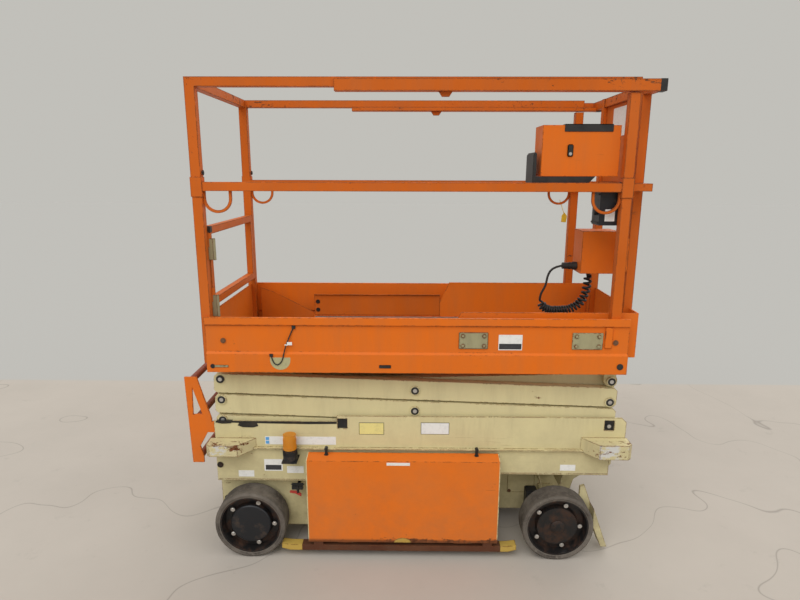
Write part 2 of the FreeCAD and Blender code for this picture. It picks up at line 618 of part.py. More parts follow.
def build_arms():
    """Eight pairs of arms with their pins, cross tubes, rollers and cylinder mounts."""
    for level in LEVELS:
        highest = level == LEVELS[-1]
        holes = ("0", REACH) if highest else (f"-({REACH})", "0", REACH)
        pair = [arm(side, OUTER, 1, holes) for _, side in SIDES]
        if highest:
            for _, side in SIDES:
                pair.append(side_bar(
                    side, "pin_radius", f"-({REACH})",
                    (f"{INNER[0]} + 2", "outer_arm_face + pin_head"), "0"))
        part(f"outer_arms_{level}", at_level(fuse(pair), level, 1))

        pair = []
        for _, side in SIDES:
            pair.append(arm(side, INNER, -1, ()))
            for x in (f"-({REACH})", "0", REACH):
                pair.append(side_bar(side, "pin_radius", x, (INNER[0], "outer_arm_face + pin_head"), "0"))
                pair.append(side_bar(
                    side, "pin_head_radius", x,
                    ("outer_arm_face + 1", "outer_arm_face + pin_head"), "0"))
        for x in (f"-({REACH}) + tie_inset", f"{REACH} - tie_inset"):
            pair.append(bar("tie_radius", x, (f"-({INNER[0]}) - 2", f"{INNER[0]} + 2"), "0"))
        if level == 3:
            pair.extend(ram_mount())
        part(f"inner_arms_{level}", at_level(fuse(pair), level, -1))
    for label, level, x, half in (
            ("lower_rollers", 1, f"-({REACH})", OUTER), ("upper_rollers", 4, f"-({REACH})", INNER)):
        rollers = []
        for _, side in SIDES:
            middle = f"({half[0]}) + arm_thick / 2"
            span = (f"{middle} - roller_width / 2", f"{middle} + roller_width / 2")
            wheel = side_bar(side, "roller_radius", x, span, "0")
            hole = side_bar(side, "pin_radius + running_gap", x, (f"{span[0]} - 1", f"{span[1]} + 1"), "0")
            rollers.append(cut(wheel, [hole]))
        part(label, at_level(fuse(rollers), level, -1 if level == 1 else 1))


def ram_mount():
    """Cross tube and two ears that hold the lift cylinder's rod, in the arm's own frame."""
    tube_x = "-ram_offset + ram_tube_inset"
    reach = f"{INNER[0]} - seat_gap"
    pieces = [bar("ram_tube_radius", tube_x, (f"-({reach})", reach), "ram_tube_lift")]
    span = (f"{tube_x} - ram_tube_radius", f"{tube_x} + ram_tube_radius")
    for _, side in SIDES:
        pieces.append(side_box(
            side, ("-ram_offset - ram_rod_eye_radius", span[1]),
            ("ram_ear_gap / 2", "ram_ear_gap / 2 + ram_ear_wall"),
            ("-ram_rod_eye_radius", "ram_tube_lift + ram_tube_radius")))
        pieces.append(side_box(
            side, span, (f"{reach} - ram_ear_wall", reach), ("-arm_depth / 4", "ram_tube_lift")))
        pieces.append(side_box(
            side, span, (f"{reach} - ram_ear_wall", f"{INNER[0]} + 2"), ("-arm_depth / 4", "arm_depth / 4")))
    return pieces


def build_ram():
    """Lift cylinder from the lowest front cross tube to the third level, in the middle of the machine."""
    span, pitch, offset = VALUE["arm_span"], VALUE["level_pitch"], VALUE["ram_offset"]
    tie = span / 2 - VALUE["tie_inset"]
    rest = math.asin(pitch / span)
    middle_x, first = VALUE["arm_mid_x"], VALUE["first_pin"]
    low = FreeCAD.Vector(
        middle_x + tie * math.cos(rest), 0, first + 0.5 * pitch + tie * math.sin(rest))
    high = FreeCAD.Vector(
        middle_x - offset * math.cos(rest), 0, first + 2.5 * pitch - offset * math.sin(rest))
    line = high - low
    length, along = line.Length, FreeCAD.Vector(line).normalize()
    eye_width = VALUE["ram_ear_gap"] - 2
    across = FreeCAD.Vector(0, 1, 0)

    def eye(centre, radius):
        return Part.makeCylinder(radius, eye_width, centre - across * eye_width / 2, across)

    rod_radius, neck = VALUE["ram_rod_radius"], VALUE["ram_neck"]
    end = length - VALUE["ram_head"]
    bottom = neck + VALUE["ram_base"]
    barrel = Part.makeCylinder(VALUE["ram_radius"], end - neck, low + along * neck, along)
    stalk = Part.makeCylinder(VALUE["ram_neck_radius"], neck, low, along)
    bore = Part.makeCylinder(
        rod_radius + VALUE["running_gap"], end - bottom, low + along * bottom, along)
    shell = barrel.fuse(stalk).fuse(eye(low, VALUE["ram_eye_radius"]))
    shell = shell.cut(bore).cut(Part.makeCylinder(
        VALUE["tie_radius"] + VALUE["running_gap"], eye_width + 2, low - across * (eye_width / 2 + 1), across))
    item = doc.addObject("Part::Feature", "barrel")
    item.Shape = shell
    part("lift_cylinder_barrel", item)
    start = bottom + VALUE["ram_play"]
    rod = Part.makeCylinder(rod_radius, length - start, low + along * start, along)
    item = doc.addObject("Part::Feature", "rod")
    item.Shape = rod.fuse(eye(high, VALUE["ram_rod_eye_radius"]))
    part("lift_cylinder_rod", item)


def side_rod(side, radius, x, length):
    """A barrel along the machine at a cover's hinge line, centred on x."""
    return bar(radius, (f"{x} - {length} / 2", f"{x} + {length} / 2"), f"{side} * (cover_face - cover_hinge_radius)",
               "cover_base", "x")


def build_covers():
    """Side covers, hinged at their lower edge, and the heavy pieces behind them."""
    for name, side in SIDES:
        front = ("bay_rear - cover_overlap", "bay_front + cover_overlap")
        shell = prism(mirrored(side, [
            ("cover_face - cover_wall", "cover_base"), ("cover_face", "cover_base"),
            ("cover_face", "cover_brow"), ("cover_back", "cover_top"),
            ("cover_back", "cover_top - cover_wall"), ("cover_face - cover_wall", "cover_brow - cover_wall"),
        ]), "yz", front)
        ends = []
        for low, high in ((front[0], f"{front[0]} + cover_wall"), (f"{front[1]} - cover_wall", front[1])):
            ends.append(prism(mirrored(side, [
                ("cover_face - cover_wall", "floor_top + 4"), ("cover_face - cover_wall", "cover_brow - 2"),
                ("cover_back", "cover_top - 2"), ("cover_back", "floor_top + 4"),
            ]), "yz", (low, high)))
        for x in COVER_HINGES:
            ends.append(side_rod(side, "cover_hinge_radius", x, "cover_hinge_length"))
        part(f"cover_{name}", fuse([shell] + ends))
    block = box(
        ("bay_rear + plate + battery_gap", "bay_front - plate - battery_gap"),
        (f"-({BAY_HALF}) + battery_gap", "-spine_half - battery_gap"),
        ("bay_base + plate + seat_gap", "bay_base + plate + seat_gap + battery_height"))
    part("battery_block", block)
    unit = box(
        ("bay_rear + plate + battery_gap", "bay_front - plate - 280"),
        ("spine_half + battery_gap", f"{BAY_HALF} - battery_gap"),
        ("bay_base + plate + seat_gap", "bay_base + plate + seat_gap + battery_height - 30"))
    part("power_unit", unit)


def build_fixtures():
    """Ladder, skid bars, beacon and lowering knob."""
    solids = []
    for _, side in SIDES:
        half = ("ladder_half - ladder_wall", "ladder_half")
        outer = [
            ("ladder_rear", "ladder_top"), ("ladder_rear + 52", "ladder_top"),
            ("ladder_rear + 104", "ladder_top - 188"), ("ladder_rear + 104", "ladder_top - 212"),
            ("ladder_rear + 46", "ladder_base + 76"), ("ladder_rear + 58", "ladder_base + 30"),
            ("ladder_rear + 58", "ladder_base"), ("ladder_rear + 10", "ladder_base"),
        ]
        window = [
            ("ladder_rear + 30", "ladder_top - 44"), ("ladder_rear + 66", "ladder_top - 168"),
            ("ladder_rear + 26", "ladder_top - 168"),
        ]
        plate = side_prism(side, outer, half)
        hole = side_prism(side, window, (f"{half[0]} - 1", f"{half[1]} + 1"))
        solids.append(cut(plate, [hole]))
        solids.append(side_box(
            side, ("ladder_rear + 84", "chassis_rear - seat_gap"), half, ("ladder_top - 250", "ladder_top - 200")))
    for x, z in (("ladder_rear + 24", "ladder_top - 20"), ("ladder_rear + 46", "ladder_top - 182"),
                 ("ladder_rear + 34", "ladder_base + 16")):
        solids.append(bar("rung_radius", x, ("-ladder_half + 1", "ladder_half - 1"), z))
    part("ladder", fuse(solids))
    skids = []
    for _, side in SIDES:
        half = (f"{BAY_HALF} - skid_width", BAY_HALF)
        skids.append(side_prism(side, [
            ("skid_rear", "skid_base + 10"), ("skid_rear + 36", "skid_base"),
            ("skid_front - 36", "skid_base"), ("skid_front", "skid_base + 10"),
            ("skid_front", "skid_base + skid_height + 6"), ("skid_front - 40", "skid_base + skid_height"),
            ("bay_front - 20", "skid_base + skid_height"), ("bay_front - 20", "bay_base - seat_gap"),
            ("bay_front - 60", "bay_base - seat_gap"), ("bay_front - 60", "skid_base + skid_height"),
            ("bay_rear + 60", "skid_base + skid_height"), ("bay_rear + 60", "bay_base - seat_gap"),
            ("bay_rear + 20", "bay_base - seat_gap"), ("bay_rear + 20", "skid_base + skid_height"),
            ("skid_rear + 40", "skid_base + skid_height"), ("skid_rear", "skid_base + skid_height + 6"),
        ], half))
    part("skid_bars", fuse(skids))
    shelf = side_box(
        NEAR, ("beacon_x - 32", "beacon_x + 32"), ("channel_face + seat_gap", "beacon_half + beacon_radius"),
        ("beacon_base - 6", "beacon_base"))
    foot = bar("beacon_radius", "beacon_x", "-beacon_half", ("beacon_base", "beacon_base + 26"), "z")
    part("beacon_foot", fuse([shelf, foot]))
    lens = bar(
        "beacon_radius - 3", "beacon_x", "-beacon_half",
        ("beacon_base + 26 + seat_gap", "beacon_top"), "z")
    part("beacon_lens", lens)
    stem = side_bar(NEAR, "7", "beacon_x + 18", (f"{REAR_BOX_HALF} + seat_gap", f"{REAR_BOX_HALF} + 56"), "300")
    cross = side_box(
        NEAR, ("beacon_x - 6", "beacon_x + 42"), (f"{REAR_BOX_HALF} + 44", f"{REAR_BOX_HALF} + 58"), ("292", "308"))
    part("lowering_knob", fuse([stem, cross]))


def build_platform():
    """Deck, fascia, toe boards and fixed guard rails."""
    solids = []
    for _, side in SIDES:
        section = mirrored(side, [
            ("fascia_face - fascia_wall", "fascia_base"), ("fascia_face", "fascia_base"),
            ("fascia_face", FASCIA_RIDGE), ("fascia_face - toe_recess", f"{FASCIA_RIDGE} + 9"),
            ("fascia_face - toe_recess", f"{TOE_TOP} - toe_lip - 4"), ("fascia_face", f"{TOE_TOP} - toe_lip"),
            ("fascia_face", TOE_TOP), ("fascia_face - toe_recess - fascia_wall", TOE_TOP),
            ("fascia_face - toe_recess - fascia_wall", f"{FASCIA_RIDGE} + 6"),
            ("fascia_face - fascia_wall", f"{FASCIA_RIDGE} - 3"),
        ])
        solids.append(prism(section, "yz", ("deck_rear", "deck_front")))
        # track over the sliding ends, and ears of the upper fixed pivots
        solids.append(side_box(
            side, ("deck_rear", "arm_mid_x"), (INNER[0], f"{INNER[1]} + 4"),
            ("first_pin + 4 * level_pitch + roller_radius + seat_gap", "deck_top - deck_plate")))
        pivot_z = "first_pin + 4 * level_pitch"
        ear = (f"{OUTER[0]} + 4", f"{OUTER[0]} + 26")
        ear_body = fuse([
            side_box(side, (f"{PIVOT_X} - 28", f"{PIVOT_X} + 22"), ear, (pivot_z, "deck_top - deck_plate")),
            side_bar(side, "28", PIVOT_X, ear, pivot_z)])
        ear_hole = side_bar(
            side, "pin_radius + running_gap", PIVOT_X, (f"{ear[0]} - 1", f"{ear[1]} + 1"), pivot_z)
        solids.append(cut(ear_body, [ear_hole]))
        solids.append(side_box(
            side, ("deck_rear", "deck_front"), ("150", "156"), ("fascia_base", "deck_top - deck_plate")))
    solids.append(box(
        ("deck_rear", "deck_front"), ("-fascia_face + fascia_wall", "fascia_face - fascia_wall"),
        ("deck_top - deck_plate", "deck_top")))
    for low, high in (("deck_rear", "deck_rear + fascia_wall"), ("deck_front - fascia_wall", "deck_front")):
        solids.append(box(
            (low, high), ("-fascia_face + 1", "fascia_face - 1"), ("fascia_base", "deck_top")))
    solids.append(box(
        ("deck_rear", "deck_rear + fascia_wall"),
        ("-rail_face + rail_size + seat_gap", "rail_face - rail_size - seat_gap"), ("deck_top", TOE_TOP)))
    part("platform_deck", fuse(solids))

    inner = "rail_face - rail_size"
    for name, side in SIDES:
        rails = [side_box(
            side, ("post_rear", "post_front"), (inner, "rail_face"), (f"{RAIL_TOP} - rail_height", RAIL_TOP))]
        rails.append(side_box(
            side, ("post_rear", "post_front"), (inner, "rail_face"),
            ("mid_rail_top - rail_height", "mid_rail_top")))
        for low, high, sign in (("post_rear", "post_rear + post_width", 1), ("post_front - post_width", "post_front", -1)):
            top = RAIL_TOP if sign == 1 else f"{SLEEVE_BASE} - post_clear"
            rails.append(side_box(side, (low, high), (inner, "rail_face"), ("deck_top + seat_gap", top)))
            rails.append(side_box(
                side, (f"{low} - collar_wall", f"{high} + collar_wall"), (inner, "rail_face + collar_wall"),
                ("collar_base", "collar_base + collar_height")))
            start = f"{high} - 2" if sign == 1 else f"{low} + 2 - loop_width"
            rails.append(hand_loop(side, start))
        part(f"guard_rail_{name}", fuse(rails))
    part("rear_top_rail", box(
        ("post_rear", "post_rear + rail_size"), (f"-({inner}) + seat_gap", f"{inner} - seat_gap"),
        (f"{RAIL_TOP} - rail_height", RAIL_TOP)))


def build_fascia_cable():
    """A thin cable that hangs from the near toe board over the fascia, to its clip."""
    fascia = VALUE["fascia_face"] + VALUE["fascia_cable"] / 2 + VALUE["seat_gap"]
    board = fascia - VALUE["toe_recess"]
    toe_top = VALUE["deck_top"] + VALUE["toe_height"]
    route = [
        (-453, -board, toe_top - VALUE["toe_lip"] - 10), (-464, -board, 1018), (-484, -fascia, 968),
        (-495, -fascia, 932), (-502, -fascia, 900), (-521, -fascia, 880), (-541, -fascia, 894),
        (-546, -fascia, 922)]
    soft_tube("cable_fascia", route, VALUE["fascia_cable"])


def hand_loop(side, start):
    """A round-bottomed plate loop under the middle rail, from its rear edge."""
    radius = "loop_width / 2"
    middle = f"{start} + {radius}"
    top = "mid_rail_top - rail_height"
    half = ("rail_face - rail_size / 2 - loop_thick / 2", "rail_face - rail_size / 2 + loop_thick / 2")
    drop = f"{top} - loop_depth + {radius}"
    solid = fuse([side_box(side, (start, f"{start} + loop_width"), half, (drop, top)),
                  side_bar(side, radius, middle, half, drop)])
    wide = (f"{half[0]} - 1", f"{half[1]} + 1")
    hole = fuse([side_box(side, (f"{start} + loop_bar", f"{start} + loop_width - loop_bar"), wide, (drop, f"{top} + 1")),
                 side_bar(side, f"{radius} - loop_bar", middle, wide, drop)])
    return cut(solid, [hole])


def build_gate():
    """Entry gate between the rear posts, hinged on the near one."""
    x = ("post_rear + gate_gap", "post_rear + gate_gap + gate_tube")
    half = "rail_face - rail_size - gate_gap"
    y = (f"-({half})", half)
    bars = [box(x, y, ("gate_top - gate_tube", "gate_top")), box(x, y, ("gate_base", "gate_base + gate_tube")),
            box(x, (y[0], f"{y[0]} + gate_tube"), ("gate_base", "gate_top")),
            box(x, (f"{y[1]} - gate_tube", y[1]), ("gate_base", "gate_top"))]
    hinge_y = "-(rail_face - rail_size - seat_gap - hinge_radius)"
    for low in ("gate_base + 20", "gate_top - 80"):
        bars.append(bar("hinge_radius", x[1], hinge_y, (low, f"{low} + 60"), "z"))
    part("entry_gate", fuse(bars))


def build_extension():
    """Sliding deck with its rails, front posts and the boxes that hang on them."""
    base = "deck_top + extension_lift"
    solids = [box(
        ("extension_rear", "extension_front"), ("-extension_half", "extension_half"),
        (base, f"{base} + deck_plate"))]
    solids.append(box(
        ("extension_front - extension_wall", "extension_front"), ("-extension_half", "extension_half"),
        (base, "extension_toe_top")))
    for _, side in SIDES:
        half = ("extension_half - extension_wall", "extension_half")
        solids.append(side_prism(side, [
            ("extension_rear", base), ("extension_front", base), ("extension_front", "extension_toe_top"),
            ("extension_toe_x", "extension_toe_top"), ("extension_toe_x - 50", "extension_low_top"),
            ("extension_rear + 60", "extension_low_top"), ("extension_rear", "extension_low_top - 50"),
        ], half))
        solids.append(side_box(
            side, ("extension_rear", "deck_front - 40"), ("extension_half - 46", "extension_half - 20"),
            ("deck_top + seat_gap", base)))
    notches = [side_box(
        side, ("sleeve_front - front_post_size - seat_gap", "sleeve_front + 1"),
        ("front_post_half - front_post_size - seat_gap", "front_post_half + seat_gap"),
        (f"{base} + deck_plate", "extension_toe_top + 1")) for _, side in SIDES]
    part("extension_deck", cut(fuse(solids), notches))

    rails = []
    outer = "rail_face + sleeve_clear + sleeve_wall"
    inner = "rail_face - rail_size - sleeve_clear"
    front = ("sleeve_front - rail_size", "sleeve_front")
    for _, side in SIDES:
        section = mirrored(side, [
            (inner, SLEEVE_BASE), (outer, SLEEVE_BASE), (outer, SLEEVE_TOP),
            (f"{outer} - sleeve_wall", SLEEVE_TOP), (f"{outer} - sleeve_wall", f"{SLEEVE_BASE} + sleeve_wall"),
            (inner, f"{SLEEVE_BASE} + sleeve_wall"),
        ])
        rails.append(prism(section, "yz", ("sleeve_rear", front[1])))
        for low in ("sleeve_rear", "post_front - pad_length"):
            rails.append(side_box(
                side, (low, f"{low} + pad_length"), (inner, f"{outer} - sleeve_wall"),
                (f"{SLEEVE_BASE} + sleeve_wall", f"{RAIL_TOP} - rail_height - seat_gap")))
        rails.append(side_box(
            side, ("inner_rail_rear", front[1]), ("inner_rail_half - rail_size", "inner_rail_half"),
            ("mid_rail_top - rail_height + 2", "mid_rail_top - 2")))
        rails.append(side_box(
            side, ("sleeve_front - front_post_size", "sleeve_front"),
            ("front_post_half - front_post_size", "front_post_half"),
            (f"{base} + deck_plate + seat_gap", SLEEVE_TOP)))
        rails.append(side_prism(side, [
            ("tab_x - tab_half", f"{SLEEVE_BASE} + 1"), ("tab_x - tab_half / 2", f"{SLEEVE_BASE} - tab_drop"),
            ("tab_x + tab_half / 2", f"{SLEEVE_BASE} - tab_drop"), ("tab_x + tab_half", f"{SLEEVE_BASE} + 1"),
        ], ("rail_face - rail_size / 2 - tab_wall / 2", "rail_face - rail_size / 2 + tab_wall / 2")))
    rails.append(box(front, (f"-({outer})", outer), (f"{SLEEVE_BASE} + sleeve_wall", SLEEVE_TOP)))
    rails.append(box(
        front, ("-inner_rail_half", "inner_rail_half"), ("mid_rail_top - rail_height + 2", "mid_rail_top - 2")))
    rails.append(box(
        ("sleeve_front - 20", "sleeve_front - 16"), ("-front_post_half + 2", "front_post_half - 2"),
        ("mid_rail_top - 4", f"{SLEEVE_BASE} + 10")))
    part("extension_rails", fuse(rails))
    build_boxes()


def build_boxes():
    """Control case with its door, console, socket box, plug and the control cable."""
    y = ("-case_half_out", "-case_half_in")
    outer = box(("case_rear", "case_front"), y, (CASE_BASE, CASE_TOP))
    inner = box(
        ("case_rear + case_wall", "case_front - case_wall"), (f"{y[0]} - 1", f"{y[1]} - case_wall"),
        (f"{CASE_BASE} + case_wall", f"{CASE_TOP} - case_wall"))
    tray = box(
        ("case_rear - 30", "case_rear + 120"), ("-inner_rail_half + 2", "-case_half_in"),
        ("mid_rail_top - 2 + seat_gap", CASE_BASE))
    part("control_case", fuse([cut(outer, [inner]), tray]))
    part("case_door", box(
        ("case_rear", "case_front"), ("-case_half_out - case_wall - seat_gap", "-case_half_out - seat_gap"),
        (CASE_BASE, CASE_TOP)))
    console_top = "mid_rail_top - rail_height + 2 - seat_gap"
    part("console", box(
        ("console_rear", "console_rear + console_length"),
        ("-inner_rail_half", "-inner_rail_half + console_width"),
        (f"{console_top} - console_height", console_top)))
    shell = box(("socket_rear", "socket_front"), ("-socket_near", "-socket_far"), ("socket_base", "socket_top"))
    bracket = box(
        ("socket_front", "sleeve_front - front_post_size - seat_gap"), ("-front_post_half", "-socket_far - 20"),
        ("socket_base + 20", "socket_top - 20"))
    part("socket_box", fuse([shell, bracket]))
    part("plug", bar(
        "plug_radius", ("socket_rear - plug_length", "socket_rear - seat_gap"), "-plug_half", "plug_z", "x"))
    start = VALUE["socket_rear"] - VALUE["plug_length"] - VALUE["seat_gap"]
    depth = -VALUE["plug_half"]
    route = [(start, VALUE["plug_z"]), (634, 1243), (612, 1208), (608, 1162), (588, 1128), (584, 1100)]
    curls = [(584, 1099), (592, 1066), (634, 1050), (684, 1050), (737, 1062), (774, 1098), (789, 1162),
             (789, VALUE["socket_base"] - VALUE["seat_gap"])]
    soft_tube("cable_straight", [(x, depth, z) for x, z in route], VALUE["cable_diameter"])
    soft_tube("cable_curly", [(x, depth, z) for x, z in curls], VALUE["curl_diameter"])


def soft_tube(label, route, diameter):
    """A cable as straight runs joined by tangent arcs, each as large as its two runs allow."""
    points = [FreeCAD.Vector(*point) for point in route]
    edges, radii = [], []
    start = points[0]
    for before, corner, after in zip(points, points[1:], points[2:]):
        back, ahead = (before - corner), (after - corner)
        shorter = min(back.Length, ahead.Length)
        back.normalize()
        ahead.normalize()
        half_turn = (math.pi - back.getAngle(ahead)) / 2
        setback = 0.45 * shorter
        radii.append(setback / math.tan(half_turn))
        enter, leave = corner + back * setback, corner + ahead * setback
        inward = (back + ahead).normalize()
        centre = corner + inward * (setback / math.sin(half_turn))
        middle = centre - inward * radii[-1]
        edges.append(Part.LineSegment(start, enter).toShape())
        edges.append(Part.Arc(enter, middle, leave).toShape())
        start = leave
    edges.append(Part.LineSegment(start, points[-1]).toShape())
    spine = Part.Wire(edges)
    section = Part.Wire(Part.makeCircle(diameter / 2, points[0], points[1] - points[0]))
    item = doc.addObject("Part::Feature", label)
    item.Shape = spine.makePipeShell([section], True, False)
    wanted = math.pi * diameter ** 2 / 4 * spine.Length
    print(f"{label}: {spine.Length:.0f} mm long, radii {[round(radius) for radius in radii]}, "
          f"volume {item.Shape.Volume / wanted:.4f} of its section times its length")
    part(label, item)


build_chassis()
build_running_gear()
build_arms()
build_ram()
build_covers()
build_fixtures()
build_platform()
build_fascia_cable()
build_gate()
build_extension()
doc.recompute()

failed = [item.Label for item in doc.Objects if "Invalid" in item.State or "Error" in item.State]
for item in PARTS:
    if item.Shape.isNull() or not item.Shape.isValid():
        failed.append(item.Label)
if failed:
    print("failed:", failed)
    sys.exit(1)

os.makedirs("parts", exist_ok=True)
for item in PARTS:
    item.Shape.exportStep(f"parts/{item.Label}.step")
whole = FreeCAD.BoundBox()
for item in PARTS:
    whole.add(item.Shape.BoundBox)
    print(f"{item.Label}: {len(item.Shape.Solids)} solids, {item.Shape.Volume / 1e6:.3f} litres")
print(f"nodes {len(PARTS)}, box {whole}")
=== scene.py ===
"""Compact electric scissor lift with a sliding deck extension, dressed for a studio picture.

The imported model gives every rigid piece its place, in metres: +X to the steered front end, -Y to the near
side, +Z up. This script gives those pieces their finishes and adds the small fittings, cables and marks.
"""

import json
import logging
import math
from dataclasses import dataclass, field
from enum import Enum

import bmesh
import bpy
from mathutils import Matrix, Vector


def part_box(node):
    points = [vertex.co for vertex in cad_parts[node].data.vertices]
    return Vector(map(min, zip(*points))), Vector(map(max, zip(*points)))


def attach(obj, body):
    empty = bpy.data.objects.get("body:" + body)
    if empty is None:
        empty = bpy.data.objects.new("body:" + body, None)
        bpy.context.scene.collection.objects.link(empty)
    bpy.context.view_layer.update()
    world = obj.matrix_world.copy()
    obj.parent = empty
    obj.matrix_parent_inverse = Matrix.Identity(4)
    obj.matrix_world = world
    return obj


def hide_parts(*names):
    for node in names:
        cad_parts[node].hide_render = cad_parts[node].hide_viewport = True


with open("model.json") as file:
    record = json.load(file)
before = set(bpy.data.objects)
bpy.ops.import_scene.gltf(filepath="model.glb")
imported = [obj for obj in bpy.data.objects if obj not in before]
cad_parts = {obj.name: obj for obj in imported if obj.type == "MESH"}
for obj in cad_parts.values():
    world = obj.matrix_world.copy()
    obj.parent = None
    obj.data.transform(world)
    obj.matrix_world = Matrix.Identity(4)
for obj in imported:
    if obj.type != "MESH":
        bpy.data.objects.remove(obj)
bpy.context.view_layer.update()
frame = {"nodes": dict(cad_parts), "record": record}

LOG = logging.getLogger("scissor_lift")
Point = tuple[float, float, float]
Colour = tuple[float, float, float]


class Axis(Enum):
    """The direction that a fitting faces or lies along."""

    X = (1.0, 0.0, 0.0)
    Y = (0.0, 1.0, 0.0)
    Z = (0.0, 0.0, 1.0)


class Side(Enum):
    """A side of the machine, with the sign of Y there."""

    NEAR = -1
    FAR = 1

    @property
    def label(self) -> str:
        """The side's name as the nodes use it."""
        return self.name.lower()


class Graph:
    """A material's node tree, with short calls for the nodes that the finishes use."""

    def __init__(self, name: str) -> None:
        """Start an empty tree with an output and one principled shader.

        Args:
            name: the material's name.
        """
        self.material = bpy.data.materials.new(name)
        self.material.use_nodes = True
        self.tree = self.material.node_tree
        self.tree.nodes.clear()
        self.output = self.tree.nodes.new("ShaderNodeOutputMaterial")
        self.shader = self.tree.nodes.new("ShaderNodeBsdfPrincipled")
        self.tree.links.new(self.shader.outputs["BSDF"], self.output.inputs["Surface"])
        self.place = self.tree.nodes.new("ShaderNodeTexCoord").outputs["Object"]

    def feed(self, socket: bpy.types.NodeSocket, value: object) -> None:
        """Link a socket to another node's output, or set it to a plain value."""
        if isinstance(value, bpy.types.NodeSocket):
            self.tree.links.new(value, socket)
        elif isinstance(value, tuple) and len(value) == 3 and socket.type == "RGBA":
            socket.default_value = (*value, 1.0)
        else:
            socket.default_value = value

    def node(self, kind: str, **inputs: object) -> bpy.types.Node:
        """Add a node and feed its inputs by name, with underscores for spaces."""
        made = self.tree.nodes.new(kind)
        for name, value in inputs.items():
            self.feed(made.inputs[name.replace("_", " ")], value)
        return made

    def stretched(self, scale: Point, shift: Point = (0.0, 0.0, 0.0)) -> bpy.types.NodeSocket:
        """Object coordinates, stretched by a scale along each axis."""
        return self.node("ShaderNodeMapping", Vector=self.place, Scale=scale, Location=shift).outputs[0]

    def noise(self, scale: float, detail: float = 4.0, rough: float = 0.6,
              at: bpy.types.NodeSocket | None = None) -> bpy.types.NodeSocket:
        """Fractal noise from 0 to 1 on object coordinates."""
        made = self.node("ShaderNodeTexNoise", Vector=at or self.place, Scale=scale, Detail=detail, Roughness=rough)
        return made.outputs["Fac"]

    def ramp(self, value: bpy.types.NodeSocket, low: float, high: float,
             start: float = 0.0, end: float = 1.0) -> bpy.types.NodeSocket:
        """A clamped straight ramp from one range to another."""
        made = self.node("ShaderNodeMapRange", Value=value)
        for name, number in (("From Min", low), ("From Max", high), ("To Min", start), ("To Max", end)):
            made.inputs[name].default_value = number
        return made.outputs[0]

    def maths(self, kind: str, first: object, second: object = 0.0) -> bpy.types.NodeSocket:
        """One arithmetic step on two values."""
        made = self.tree.nodes.new("ShaderNodeMath")
        made.operation = kind
        self.feed(made.inputs[0], first)
        self.feed(made.inputs[1], second)
        return made.outputs[0]

    def mix(self, share: object, below: object, above: object) -> bpy.types.NodeSocket:
        """One colour over another by a share from 0 to 1."""
        made = self.tree.nodes.new("ShaderNodeMix")
        made.data_type = "RGBA"
        self.feed(made.inputs[0], share)
        self.feed(made.inputs[6], below)
        self.feed(made.inputs[7], above)
        return made.outputs[2]

    def blend(self, share: object, below: object, above: object) -> bpy.types.NodeSocket:
        """One number over another by a share from 0 to 1."""
        made = self.tree.nodes.new("ShaderNodeMix")
        self.feed(made.inputs[0], share)
        self.feed(made.inputs[2], below)
        self.feed(made.inputs[3], above)
        return made.outputs[0]

    def edges(self, radius: float, low: float, high: float) -> bpy.types.NodeSocket:
        """1 on outside and inside corners, 0 on flat faces, from how a bevel would turn the surface."""
        rounded = self.node("ShaderNodeBevel", Radius=radius)
        rounded.samples = 4
        flat = self.tree.nodes.new("ShaderNodeNewGeometry").outputs["Normal"]
        dot = self.tree.nodes.new("ShaderNodeVectorMath")
        dot.operation = "DOT_PRODUCT"
        self.tree.links.new(rounded.outputs[0], dot.inputs[0])
        self.tree.links.new(flat, dot.inputs[1])
        return self.ramp(dot.outputs["Value"], high, low)

    def height(self, fraction: float, low: float, high: float) -> bpy.types.NodeSocket:
        """A share that fades from `fraction` at one height to nothing at another."""
        level = self.node("ShaderNodeSeparateXYZ", Vector=self.place).outputs["Z"]
        return self.ramp(level, low, high, fraction, 0.0)

    def bump(self, height: bpy.types.NodeSocket, depth: float, strength: float = 1.0,
             normal: bpy.types.NodeSocket | None = None) -> bpy.types.NodeSocket:
        """A bump of a real depth in metres."""
        made = self.node("ShaderNodeBump", Height=height, Strength=strength, Distance=depth)
        if normal is not None:
            self.tree.links.new(normal, made.inputs["Normal"])
        return made.outputs[0]

    def done(self, colour: object, roughness: object, normal: object | None = None, **plain: float) -> bpy.types.Material:
        """Feed the shader and return the material.

        Args:
            colour: base colour, plain or linked.
            roughness: roughness, plain or linked.
            normal: a linked normal, if there is one.
            plain: other shader inputs that are the same all over, with underscores for spaces.

        Returns:
            The finished material.
        """
        self.feed(self.shader.inputs["Base Color"], colour)
        self.feed(self.shader.inputs["Roughness"], roughness)
        if normal is not None:
            self.feed(self.shader.inputs["Normal"], normal)
        for name, number in plain.items():
            self.shader.inputs[name.replace("_", " ")].default_value = number
        return self.material


